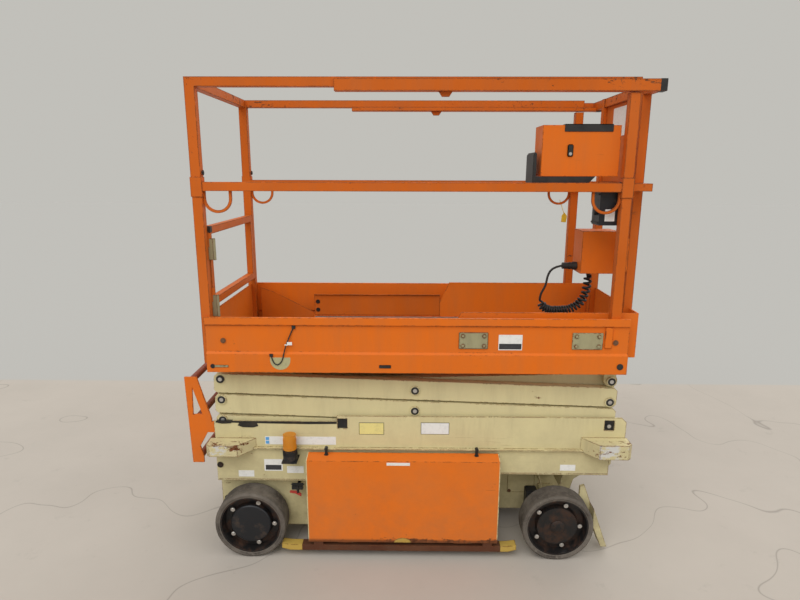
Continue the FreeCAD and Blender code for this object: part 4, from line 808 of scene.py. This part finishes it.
    def lens_ribs(self) -> None:
        """Moulded ribs inside the outline of the amber lens."""
        low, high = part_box("beacon_lens")
        middle = [(a + b) / 2 for a, b in zip(low, high)]
        reach = (high[0] - low[0]) / 2
        rim = Solid("beacon_rim")
        for z in (low[2] + 0.024, low[2] + 0.034):
            rim.rod((middle[0], middle[1], z), (middle[0], middle[1], z + 0.005), reach + 0.0018, 40, 0.0012)
        rim.dress(self.body, Finish.AMBER)
        ring_of_bars("beacon_ribs", tuple(middle), reach - 0.0002, (0.0022, 0.0030, (high[2] - low[2]) * 0.62), 28,
                     self.body, Finish.AMBER)

    def lever(self) -> None:
        """Black handle over the lowering knob and its red lever."""
        x, y, z = self.knob
        handle = Solid("lowering_handle")
        handle.block((x - 0.029, y - 0.006, z + 0.010), (x + 0.029, y + 0.006, z + 0.024), 0.005)
        handle.rod((x, y, z - 0.024), (x, y, z + 0.012), 0.006, 16, 0.001)
        handle.dress(self.body, Finish.BLACK)
        Solid("lowering_lever").prism(
            [(x - 0.036, z - 0.022), (x - 0.010, z - 0.026), (x + 0.014, z - 0.040), (x + 0.016, z - 0.028),
             (x - 0.004, z - 0.014), (x - 0.034, z - 0.012)],
            Axis.Y, y - 0.005, y + 0.003, 0.0015).dress(self.body, Finish.RED)


@dataclass
class Wheels:
    """Solid tyres on steel discs, with the steered pair on knuckles."""

    face: float = 0.380
    axle_height: float = 0.1525
    rear_x: float = -0.673
    front_x: float = 0.653
    bolt_circle: float = 0.100
    bolt_count: int = 5
    bolt_across: float = 0.0115

    def build(self) -> None:
        """Dress the wheels and add their hubs and lug bolts."""
        for side in Side:
            paint(Finish.FRAME, f"knuckle_{side.label}")
            for end, x in (("rear", self.rear_x), ("front", self.front_x)):
                paint(Finish.TYRE, f"tyre_{end}_{side.label}")
                paint(Finish.HUB, f"rim_{end}_{side.label}")
                self.lugs(end, side, x)
                self.hub(end, side, x)
            near, far = sorted((side.value * 0.2050, side.value * 0.2620))
            Solid(f"brake_{side.label}").block((0.5360, near, 0.1640), (0.5880, far, 0.2580), 0.005).dress(
                f"knuckle_{side.label}", Finish.BLACK)

    def lugs(self, end: str, side: Side, x: float) -> None:
        """Lug bolts round the disc."""
        y = side.value * (self.face - 0.0275)
        points = [(x + self.bolt_circle * math.sin(a), y, self.axle_height + self.bolt_circle * math.cos(a))
                  for a in (2 * math.pi * k / self.bolt_count + 0.35 for k in range(self.bolt_count))]
        bolts(f"lug_bolts_{end}_{side.label}", points, Axis.Y, f"wheel_{end}_{side.label}", self.bolt_across, 0.009)

    def hub(self, end: str, side: Side, x: float) -> None:
        """Flat cover on the rear hubs, stepped rings and a boss on the front ones."""
        sign = side.value
        if end == "rear":
            profile = [(0.001, 0.350), (0.001, 0.3675), (0.060, 0.3675), (0.083, 0.365), (0.087, 0.361), (0.087, 0.350)]
            finish = Finish.DARK
        else:
            profile = [(0.001, 0.345), (0.001, 0.371), (0.024, 0.371), (0.030, 0.367), (0.031, 0.356), (0.044, 0.356),
                       (0.046, 0.362), (0.060, 0.362), (0.063, 0.354), (0.078, 0.354), (0.081, 0.350), (0.081, 0.345)]
            finish = Finish.HUB
        turned = Solid(f"hub_{end}_{side.label}")
        turned.lathe([(radius, sign * offset) for radius, offset in profile], (x, 0.0, self.axle_height), 56)
        turned.dress(f"wheel_{end}_{side.label}", finish)


@dataclass
class ArmStack:
    """Four levels of crossed arms with their pins, rollers and the lift cylinder."""

    levels: int = 4
    head_base: float = 0.2890
    head_face: float = 0.2940
    ring_radius: float = 0.0170
    pin_radius: float = 0.0085
    proud: float = 0.0012

    def build(self) -> None:
        """Dress the arms and add a retaining ring and a pin end on the head of each pin."""
        rest = {joint["name"]: joint.get("pos_m") for joint in frame["record"]["behaviour"]["joints"]}
        for level in range(1, self.levels + 1):
            paint(Finish.CREAM, f"outer_arms_{level}", f"inner_arms_{level}")
            front = rest["platform_pivot" if level == self.levels else f"front_{level}"]
            centre = rest[f"centre_{level}"]
            rear = [2 * c - f for c, f in zip(centre, front)]
            self.pins(f"inner_arms_{level}", [(p[0], p[2]) for p in (front, centre, rear)])
        self.pins(f"outer_arms_{self.levels}", [(2 * centre[0] - front[0], front[2])])
        paint(Finish.HUB, "lower_rollers", "upper_rollers")
        paint(Finish.DARK, "lift_cylinder_barrel")
        paint(Finish.CHROME, "lift_cylinder_rod")

    def pins(self, body: str, places: list[tuple[float, float]]) -> None:
        """Dark rings and bright pin ends on both sides of a body."""
        rings, ends = Solid(f"pin_rings_{body}"), Solid(f"pin_ends_{body}")
        for side in Side:
            sign = side.value
            base, out = sign * self.head_base, sign * (self.head_face + self.proud)
            for x, z in places:
                profile = [(self.pin_radius, base), (self.pin_radius, out - sign * 0.0004), (self.ring_radius - 0.0015, out),
                           (self.ring_radius, out - sign * 0.001), (self.ring_radius, base)]
                rings.lathe(profile, (x, 0.0, z), 32)
                ends.rod((x, base, z), (x, out + sign * 0.0006, z), self.pin_radius, 24, 0.0006)
        rings.dress(body, Finish.RUBBER)
        ends.dress(body, Finish.BRIGHT)


@dataclass
class Covers:
    """Hinged side covers with their rubber latches."""

    face: float = 0.378
    top: float = 0.461

    def build(self) -> None:
        """Dress both covers and hang their latches on."""
        for side in Side:
            body = f"cover_{side.label}"
            paint(Finish.COVER, body)
            self.latches(side, body)

    def latches(self, side: Side, body: str) -> None:
        """Black rubber straps that pull the cover's top edge up, and a plain pull near its lower edge."""
        straps = Solid(f"cover_straps_{side.label}")
        for x in (-0.341, 0.298):
            low, high = sorted((side.value * 0.3300, side.value * 0.3440))
            straps.block((x - 0.009, low, 0.458), (x + 0.009, high, 0.474), 0.003)
            straps.block((x - 0.006, low, 0.470), (x + 0.006, high, 0.504), 0.004)
            straps.rod((x, low - 0.002, 0.498), (x, high + 0.002, 0.498), 0.0075, 16, 0.001)
        straps.dress(body, Finish.RUBBER)
        if side is Side.NEAR:
            label("cover_label", body, [((-0.083, -self.face - 0.0008, 0.443), (0.015, -self.face, 0.456), Finish.WHITE_LABEL)])
            bulge = [(-0.015 + 0.037 * math.cos(a), 0.079 + 0.022 * math.sin(a)) for a in (math.pi * k / 14 for k in range(15))]
            Solid("cover_pull").prism(bulge, Axis.Y, -self.face - 0.0019, -self.face).dress(body, Finish.TIP)


@dataclass
class Platform:
    """The lifting deck, its fascia and fixed guard rails, and their fittings."""

    body: str = "platform"
    fascia: float = 0.374
    toe: float = 0.366
    sheet: float = 0.0008
    deck_top: float = 0.885
    anchors: tuple[tuple[float, float], ...] = ((0.207, 0.324), (0.659, 0.781))
    anchor_low: float = 0.953
    anchor_high: float = 1.022

    def build(self) -> None:
        """Dress the platform and add its fittings."""
        paint(Finish.DECK, "platform_deck")
        # The rails and gate take the darker orange copy, which paints their shade into the colour.
        paint(Finish.RAIL, "guard_rail_near", "guard_rail_far", "rear_top_rail", "entry_gate")
        low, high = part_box("platform_deck")
        tread("deck_tread", (low[0] + 0.006, -0.340, self.deck_top), (high[0] - 0.006, 0.340, self.deck_top + 0.0015),
              self.body)
        self.anchor_plates()
        self.rail_bolts()
        self.gate_fittings()
        self.gussets()
        self.tag()
        self.markings()
        self.fascia_fittings()

    def anchor_plates(self) -> None:
        """Two folded plates with four bolts each on the near toe board."""
        plates = Solid("anchor_plates")
        points = []
        for x0, x1 in self.anchors:
            y = -self.toe
            plates.block((x0, y - 0.004, self.anchor_low), (x1, y, self.anchor_high), 0.0015)
            points += [(x, y - 0.006, z) for x in (x0 + 0.016, x1 - 0.016)
                       for z in (self.anchor_low + 0.014, self.anchor_high - 0.014)]
        plates.dress(self.body, Finish.PLATE)
        bolts("anchor_bolts", points, Axis.Y, self.body, 0.011, 0.0045, Finish.PLATE)

    def rail_bolts(self) -> None:
        """Small dark pins through the post collars, on their inner edges."""
        points = [(x, side.value * 0.348, 1.640 if abs(x) < 0.79 else 1.600) for side in Side for x in (-0.7790, 0.8040)]
        bolts("collar_pins", points, Axis.X, self.body, 0.012, 0.006, Finish.HUB)

    def gate_fittings(self) -> None:
        """Worn hinge leaves between the near post and the gate, and the cap on the gate's corner."""
        low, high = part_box("entry_gate")
        leaves = Solid("gate_hinges")
        for base, top in ((1.302, 1.388), (1.071, 1.161)):
            leaves.block((low[0] - 0.002, -0.3290, base), (low[0] + 0.046, -0.3235, top), 0.001)
            leaves.rod((low[0] + 0.050, -0.3262, base), (low[0] + 0.050, -0.3262, top), 0.0055, 16, 0.001)
        leaves.dress(self.body, Finish.PLATE)
        points = [(low[0] + 0.020, -0.3310, z) for z in (1.322, 1.368, 1.094, 1.140)]
        bolts("hinge_bolts", points, Axis.Y, self.body, 0.010, 0.004, Finish.RUST)
        cap = Solid("gate_cap").block((low[0] - 0.0012, low[1] - 0.0012, high[2] - 0.022),
                                      (high[0] + 0.0012, low[1] + 0.024, high[2] + 0.003), 0.0015)
        cap.dress("gate", Finish.BLACK)

    def gussets(self) -> None:
        """Sloping plates at the rear ends of the toe boards, and two bolts through the near board."""
        plates = Solid("toe_gussets")
        for side in Side:
            near, far = sorted((side.value * 0.3255, side.value * 0.3280))
            plates.prism([(-0.760, 0.888), (-0.470, 0.888), (-0.470, 0.925), (-0.688, 1.038), (-0.760, 1.062)],
                         Axis.Y, near, far, 0.0006)
        plates.dress(self.body, Finish.RAIL)
        points = [(-0.739, -self.toe - 0.003, 0.982), (0.832, -self.toe - 0.003, 0.982)]
        bolts("toe_bolts", points, Axis.Y, self.body, 0.013, 0.006, Finish.RUST)

    def tag(self) -> None:
        """Small yellow tag that hangs from the far hand loop on its plastic tie."""
        tie = Solid("yellow_tag")
        tie.rod((0.762, 0.345, 1.513), (0.787, 0.345, 1.446), 0.0014, 8)
        tie.prism([(0.776, 1.402), (0.800, 1.400), (0.804, 1.432), (0.790, 1.450), (0.777, 1.434)], Axis.Y, 0.3435, 0.3465, 0.001)
        tie.dress(self.body, Finish.YELLOW)

    def markings(self) -> None:
        """Blank stickers on the toe board and bare patches on the fascia."""
        y, s = -self.toe, self.sheet
        label("toe_labels", self.body, [
            ((0.366, y - s, 0.948), (0.461, y, 1.012), Finish.WHITE_LABEL),
            ((0.369, y - 2 * s, 0.952), (0.458, y - s, 0.975), Finish.DARK_LABEL),
        ])
        half = [(-0.511 - 0.041 * math.cos(a), 0.903 - 0.041 * math.sin(a))
                for a in (math.pi * k / 14 for k in range(15))] + [(-0.470, 0.914), (-0.552, 0.914)]
        Solid("fascia_patch").prism(half, Axis.Y, -self.fascia - s, -self.fascia).dress(self.body, Finish.PATCH)

    def fascia_fittings(self) -> None:
        """Plugs, slots and grommets along the near fascia."""
        y = -self.fascia
        black = Solid("fascia_plugs")
        black.rod((0.855, y, 0.883), (0.855, y - 0.003, 0.883), 0.013, 24, 0.001)
        black.block((-0.112, y - 0.0025, 0.871), (-0.064, y, 0.885), 0.002)
        black.rod((-0.786, y, 0.876), (-0.786, y - 0.0020, 0.876), 0.0095, 24, 0.0008)
        black.dress(self.body, Finish.BLACK)
        Solid("slot_bar").block((-0.779, y - 0.0020, 0.871), (-0.722, y, 0.881), 0.001).dress(self.body, Finish.PLATE)
        Solid("toe_bracket").block((0.787, -self.fascia, 0.960), (0.817, -self.toe, 1.045), 0.002).dress(
            self.body, Finish.ORANGE)


@dataclass
class Extension:
    """The sliding deck with its rails and front posts."""

    body: str = "extension"
    floor: float = 0.912

    def build(self) -> None:
        """Dress the sliding part and cap its open tube ends."""
        paint(Finish.ORANGE, "extension_deck")
        # The sliding rails take the darker orange copy, which paints their shade into the colour.
        paint(Finish.RAIL, "extension_rails")
        caps = Solid("rail_caps")
        for side in Side:
            near, far = sorted((side.value * 0.3262, side.value * 0.3690))
            caps.block((0.912, near, 1.9335), (0.9378, far, 1.9770), 0.001)
        caps.dress(self.body, Finish.BLACK)
        lips = Solid("sleeve_lips")
        for side in Side:
            near, far = sorted((side.value * 0.3272, side.value * 0.3290))
            lips.block((-0.272, near, 1.9342), (0.912, far, 1.9530), 0.0006)
        lips.dress(self.body, Finish.RAIL)
        tracks = Solid("toe_tracks")
        for side in Side:
            near, far = sorted((side.value * 0.3170, side.value * 0.3185))
            tracks.block((-0.480, near, 0.918), (0.170, far, 1.030), 0.0006)
            near, far = sorted((side.value * 0.3080, side.value * 0.3185))
            tracks.block((-0.480, near, 1.027), (0.170, far, 1.030), 0.0006)
        tracks.dress(self.body, Finish.RAIL)
        points = [(-0.462, side.value * 0.3155, z) for side in Side for z in (0.947, 0.990)]
        bolts("track_bolts", points, Axis.Y, self.body, 0.013, 0.006, Finish.HUB)
        low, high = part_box("extension_deck")
        tread("extension_tread", (low[0] + 0.006, low[1] + 0.012, self.floor),
              (high[0] - 0.012, high[1] - 0.012, self.floor + 0.0015), self.body)


@dataclass
class ControlStation:
    """The manual case, the console, the socket box and the plug on the sliding rails."""

    body: str = "extension"

    def build(self) -> None:
        """Dress the boxes and add their lids, catches and controls."""
        paint(Finish.ORANGE, "control_case", "socket_box")
        paint(Finish.ORANGE, "case_door")
        paint(Finish.BLACK, "plug")
        paint(Finish.DARK, "console")
        self.lid_strip()
        self.tray()
        self.panel_label()
        self.plug_collar()
        self.console_parts()

    def lid_strip(self) -> None:
        """Black edge strip along the top of the case's door, and its catch."""
        low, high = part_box("case_door")
        strip = Solid("case_strip")
        strip.block((0.588, low[1] - 0.003, high[2] - 0.024), (0.770, low[1] + 0.001, high[2] + 0.004), 0.0015)
        strip.block((0.588, low[1] - 0.003, high[2]), (0.770, -0.250, high[2] + 0.004), 0.0015)
        strip.block((0.602, low[1] - 0.006, 1.703), (0.624, low[1], 1.748), 0.008)
        strip.dress("case_door", Finish.BLACK)
        Solid("case_key").rod((0.613, low[1] - 0.0075, 1.713), (0.613, low[1] - 0.005, 1.713), 0.006, 20, 0.0008).dress(
            "case_door", Finish.BRIGHT)

    def tray(self) -> None:
        """Folded black tray under and behind the case."""
        Solid("case_tray").prism(
            [(0.476, 1.6045), (0.476, 1.710), (0.483, 1.720), (0.489, 1.714), (0.489, 1.6298), (0.716, 1.6298),
             (0.692, 1.6045)], Axis.Y, -0.3245, -0.198, 0.001).dress(self.body, Finish.BLACK)

    def panel_label(self) -> None:
        """Weathered blank sheet on the inside of the front panel."""
        label("panel_sheet", self.body, [((0.9158, -0.195, 1.800), (0.9168, 0.110, 1.922), Finish.WHITE_LABEL)])

    def console_parts(self) -> None:
        """Edge strip, stick guard and blank label on the console."""
        low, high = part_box("console")
        label("console_label", self.body, [((low[0] + 0.022, low[1] - 0.0008, low[2] + 0.016),
                                            (low[0] + 0.060, low[1], low[2] + 0.062), Finish.WHITE_LABEL)])
        guard = Solid("console_guard")
        for z in (low[2] + 0.004, high[2] - 0.016):
            guard.block((low[0] - 0.004, low[1] + 0.004, z), (high[0] + 0.003, high[1] + 0.003, z + 0.010), 0.003)
        guard.rod((low[0] - 0.012, low[1] + 0.030, low[2] + 0.050), (low[0], low[1] + 0.030, low[2] + 0.050), 0.012, 24, 0.002)
        guard.dress(self.body, Finish.BLACK)

    def plug_collar(self) -> None:
        """Gripped collar and tapered boot of the cable's plug."""
        low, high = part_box("plug")
        y, z = (low[1] + high[1]) / 2, (low[2] + high[2]) / 2
        collar = Solid("plug_collar")
        collar.rod((high[0] - 0.020, y, z), (high[0], y, z), 0.0175, 16, 0.0015)
        collar.rod((high[0] - 0.034, y, z), (high[0] - 0.026, y, z), 0.0160, 24, 0.001)
        collar.dress(self.body, Finish.BLACK)


@dataclass
class ControlCable:
    """One black cable: a straight stretch from the plug, then close curls back into the socket box."""

    body: str = "extension"
    wire: float = 0.0095
    curl_radius: float = 0.0150
    close_pitch: float = 0.0110
    open_pitch: float = 0.0210
    steps: int = 14
    depth: float = -0.100
    lead: tuple[tuple[float, float], ...] = (
        (0.6727, 1.250), (0.634, 1.243), (0.612, 1.208), (0.608, 1.162), (0.588, 1.128), (0.584, 1.100))
    curls: tuple[tuple[float, float], ...] = (
        (0.584, 1.099), (0.592, 1.066), (0.634, 1.050), (0.684, 1.050), (0.737, 1.062), (0.774, 1.098),
        (0.789, 1.162), (0.789, 1.2247))
    runs_out: float = 0.030
    length: float = field(default=0.0)

    def build(self) -> None:
        """Lay the cable and its gland."""
        lead = [(x, self.depth, z) for x, z in self.lead]
        curls = [(x, self.depth, z) for x, z in self.curls]
        middle = [tuple(v.co) for v in self.spline("curl_route", curls, 0.0).vertices]
        points = lead[:-1] + self.helix(middle)
        curve = self.curve("control_cable", points)
        piece = bpy.data.objects.new("control_cable", curve)
        bpy.context.scene.collection.objects.link(piece)
        curve.materials.append(Finish.RUBBER.material)
        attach(piece, self.body)
        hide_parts("cable_straight", "cable_curly")
        end = curls[-1]
        gland = Solid("cable_gland")
        gland.rod((end[0], end[1], end[2] - 0.026), end, 0.0062, 24, 0.0, 0.0115)
        gland = gland.dress(self.body, Finish.BLACK)
        self.measure(points)

    def curve(self, name: str, points: list[Point], bevel: float | None = None) -> bpy.types.Curve:
        """A smooth open spline on its control points."""
        curve = bpy.data.curves.new(name, "CURVE")
        curve.dimensions = "3D"
        curve.bevel_depth = self.wire / 2 if bevel is None else bevel
        curve.bevel_resolution = 3
        curve.use_fill_caps = True
        curve.resolution_u = 3 if bevel is None else 16
        spline = curve.splines.new("NURBS")
        spline.points.add(len(points) - 1)
        for point, place in zip(spline.points, points):
            point.co = (*place, 1.0)
        spline.order_u = 3
        spline.use_endpoint_u = True
        return curve

    def spline(self, name: str, points: list[Point], bevel: float) -> bpy.types.Mesh:
        """The mesh line of a spline, to be read and thrown away."""
        holder = bpy.data.objects.new(name, self.curve(name, points, bevel))
        bpy.context.scene.collection.objects.link(holder)
        mesh = bpy.data.meshes.new_from_object(holder.evaluated_get(bpy.context.evaluated_depsgraph_get()))
        bpy.data.objects.remove(holder)
        return mesh

    def helix(self, middle: list[Point]) -> list[Point]:
        """Control points of close curls about a line in the cable's plane, tapering out at both ends.

        Args:
            middle: points along the line.

        Returns:
            The points of the curls, `steps` to a turn.
        """
        line = [Vector(p) for p in middle]
        reach = [0.0]
        for a, b in zip(line, line[1:]):
            reach.append(reach[-1] + (b - a).length)
        total, along, angle = reach[-1], 0.0, 0.0
        made, k = [], 0
        while along < total:
            opened = min(1.0, max(0.0, (along / total - 0.40) / 0.35))
            pitch = self.close_pitch + (self.open_pitch - self.close_pitch) * opened
            while k < len(line) - 2 and reach[k + 1] < along:
                k += 1
            ahead = (line[k + 1] - line[k]).normalized()
            place = line[k] + ahead * (along - reach[k])
            full = min(1.0, along / self.runs_out, (total - along) / self.runs_out)
            out = Vector((0.0, 1.0, 0.0))
            turned = math.cos(angle) * out + math.sin(angle) * ahead.cross(out)
            loose = 1.0 + 0.06 * math.sin(0.31 * angle) + 0.05 * math.sin(0.13 * angle + 1.0)
            made.append(tuple(place + self.curl_radius * loose * full * turned))
            step = pitch / self.steps / max(full, 0.25)
            angle += 2 * math.pi / pitch * full * step
            along += step
        while (Vector(made[-1]) - line[-1]).length < self.wire / 2:
            made.pop()
        made.append(tuple(line[-1]))
        return made

    def measure(self, points: list[Point]) -> float:
        """The length of the cable's smooth line."""
        line = [v.co for v in self.spline("cable_line", points, 0.0).vertices]
        return sum((b - a).length for a, b in zip(line, line[1:]))


@dataclass
class FasciaCable:
    """Thin black cable over the near fascia, tied once and held by a clip."""

    body: str = "platform"
    wire: float = 0.005
    board: float = -0.3688
    fascia: float = -0.3768
    route: tuple[tuple[float, float, bool], ...] = (
        (-0.453, 1.039, False), (-0.464, 1.018, False), (-0.484, 0.968, True), (-0.495, 0.932, True),
        (-0.502, 0.900, True), (-0.521, 0.880, True), (-0.541, 0.894, True), (-0.546, 0.922, True))

    def build(self) -> None:
        """Lay the cable with its tie and clip."""
        points = [(x, self.fascia if over else self.board, z) for x, z, over in self.route]
        laying = ControlCable(body=self.body, wire=self.wire)
        curve = laying.curve("fascia_cable", points, self.wire / 2)
        piece = bpy.data.objects.new("fascia_cable", curve)
        bpy.context.scene.collection.objects.link(piece)
        curve.materials.append(Finish.RUBBER.material)
        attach(piece, self.body)
        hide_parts("cable_fascia")
        laying.measure(points)
        clip = Solid("cable_clip")
        x, y, z = points[-1]
        clip.block((x - 0.007, -0.3797, z - 0.004), (x + 0.007, -0.3740, z + 0.008), 0.001)
        x, y, z = points[0]
        clip.block((x - 0.007, -0.3735, z - 0.006), (x + 0.007, -0.3660, z + 0.008), 0.001)
        clip.dress(self.body, Finish.BLACK)
        x, y, z = points[2]
        tie = Solid("cable_tie")
        tie.block((x - 0.006, -0.3797, z - 0.002), (x + 0.006, -0.3745, z + 0.002), 0.0005)
        tie.block((x + 0.004, -0.3785, z - 0.001), (x + 0.024, -0.3775, z + 0.012), 0.0003)
        tie.dress(self.body, Finish.WHITE_LABEL)


@dataclass
class Studio:
    """Pale floor, soft lamps and the camera at the photograph's angle."""

    lens: float = 25.55
    eye: Point = (-0.003, -2.551, 1.639)
    pitch_down: float = 12.56
    yaw: float = 0.67
    roll: float = 0.15
    floor_colour: Colour = (0.50, 0.455, 0.40)
    far_colour: Colour = (0.452, 0.446, 0.422)
    far_line: float = 1.75
    wall_colour: Colour = (0.535, 0.525, 0.490)

    def build(self) -> None:
        """Set up the camera, floor, world and lamps."""
        self.camera()
        self.floor()
        self.world()
        self.lamps()
        bpy.context.scene.view_settings.view_transform = "Standard"

    def camera(self) -> None:
        """The camera that matches the photograph."""
        data = bpy.data.cameras.new("camera")
        data.lens = self.lens
        data.sensor_width = 36.0
        camera = bpy.data.objects.new("camera", data)
        turn = (Matrix.Rotation(math.radians(self.yaw), 4, "Z") @ Matrix.Rotation(math.radians(90 - self.pitch_down), 4, "X")
                @ Matrix.Rotation(math.radians(self.roll), 4, "Z"))
        camera.matrix_world = Matrix.Translation(self.eye) @ turn
        bpy.context.scene.collection.objects.link(camera)
        bpy.context.scene.camera = camera

    def floor(self) -> None:
        """A wide plain floor, paler beyond a line behind the machine."""
        mesh = bpy.data.meshes.new("floor")
        reach = 30.0
        mesh.from_pydata([(-reach, -reach, 0.0), (reach, -reach, 0.0), (reach, reach, 0.0), (-reach, reach, 0.0)], [],
                         [(0, 1, 2, 3)])
        g = Graph("pale_floor")
        tone = g.mix(g.ramp(g.noise(1.4, 5.0, 0.65), 0.3, 0.7), self.floor_colour,
                     tuple(c * 0.93 for c in self.floor_colour))
        cracks = g.ramp(g.maths("ABSOLUTE", g.maths("SUBTRACT", g.noise(0.55, 3.0, 0.55), 0.5)), 0.0, 0.0016, 0.55, 0.0)
        stains = g.maths("MULTIPLY", g.ramp(g.noise(7.0, 8.0, 0.78), 0.60, 0.72), 0.22)
        tone = g.mix(g.maths("MAXIMUM", cracks, stains), tone, tuple(c * 0.45 for c in self.floor_colour))
        depth = g.node("ShaderNodeSeparateXYZ", Vector=g.place).outputs["Y"]
        tone = g.mix(g.ramp(depth, self.far_line, self.far_line + 0.02), tone, self.far_colour)
        mesh.materials.append(g.done(tone, 0.9, Specular_IOR_Level=0.0))
        floor = bpy.data.objects.new("floor", mesh)
        bpy.context.scene.collection.objects.link(floor)

    def world(self) -> None:
        """Even light from all round, with a pale wall behind as the camera and shiny things see it."""
        world = bpy.data.worlds.new("studio")
        world.use_nodes = True
        tree = world.node_tree
        tree.nodes.clear()
        output = tree.nodes.new("ShaderNodeOutputWorld")
        both = tree.nodes.new("ShaderNodeMixShader")
        light, wall = tree.nodes.new("ShaderNodeBackground"), tree.nodes.new("ShaderNodeBackground")
        light.inputs["Color"].default_value = (1.0, 0.985, 0.96, 1.0)
        light.inputs["Strength"].default_value = 0.55
        wall.inputs["Color"].default_value = (*self.wall_colour, 1.0)
        rays = tree.nodes.new("ShaderNodeLightPath")
        seen = rays.outputs["Is Camera Ray"]
        for extra in ("Is Glossy Ray", "Is Transmission Ray"):
            add = tree.nodes.new("ShaderNodeMath")
            add.operation = "MAXIMUM"
            tree.links.new(seen, add.inputs[0])
            tree.links.new(rays.outputs[extra], add.inputs[1])
            seen = add.outputs[0]
        tree.links.new(seen, both.inputs[0])
        tree.links.new(light.outputs[0], both.inputs[1])
        tree.links.new(wall.outputs[0], both.inputs[2])
        tree.links.new(both.outputs[0], output.inputs["Surface"])
        bpy.context.scene.world = world

    def lamps(self) -> None:
        """Wide soft lamps, far enough off to light the whole machine evenly."""
        rows = (("front", (-0.9, -2.2, 2.6), 1.55), ("side", (2.6, -1.2, 1.6), 0.55), ("behind", (0.8, 2.4, 2.0), 0.95))
        for name, place, power in rows:
            data = bpy.data.lights.new(f"lamp_{name}", "SUN")
            data.angle = math.radians(50)
            data.energy = power
            lamp = bpy.data.objects.new(f"lamp_{name}", data)
            lamp.location = place
            lamp.rotation_euler = (-Vector(place)).to_track_quat("-Z", "Y").to_euler()
            bpy.context.scene.collection.objects.link(lamp)


def main() -> None:
    """Build the studio and each sub-assembly."""
    logging.basicConfig(level=logging.INFO)
    for group in (Studio(), ControlCable(), FasciaCable(), Chassis(), Wheels(), ArmStack(), Covers(), Platform(), Extension(),
                  ControlStation()):
        group.build()
        LOG.info("built %s", type(group).__name__)


if __name__ == "__main__":
    main()
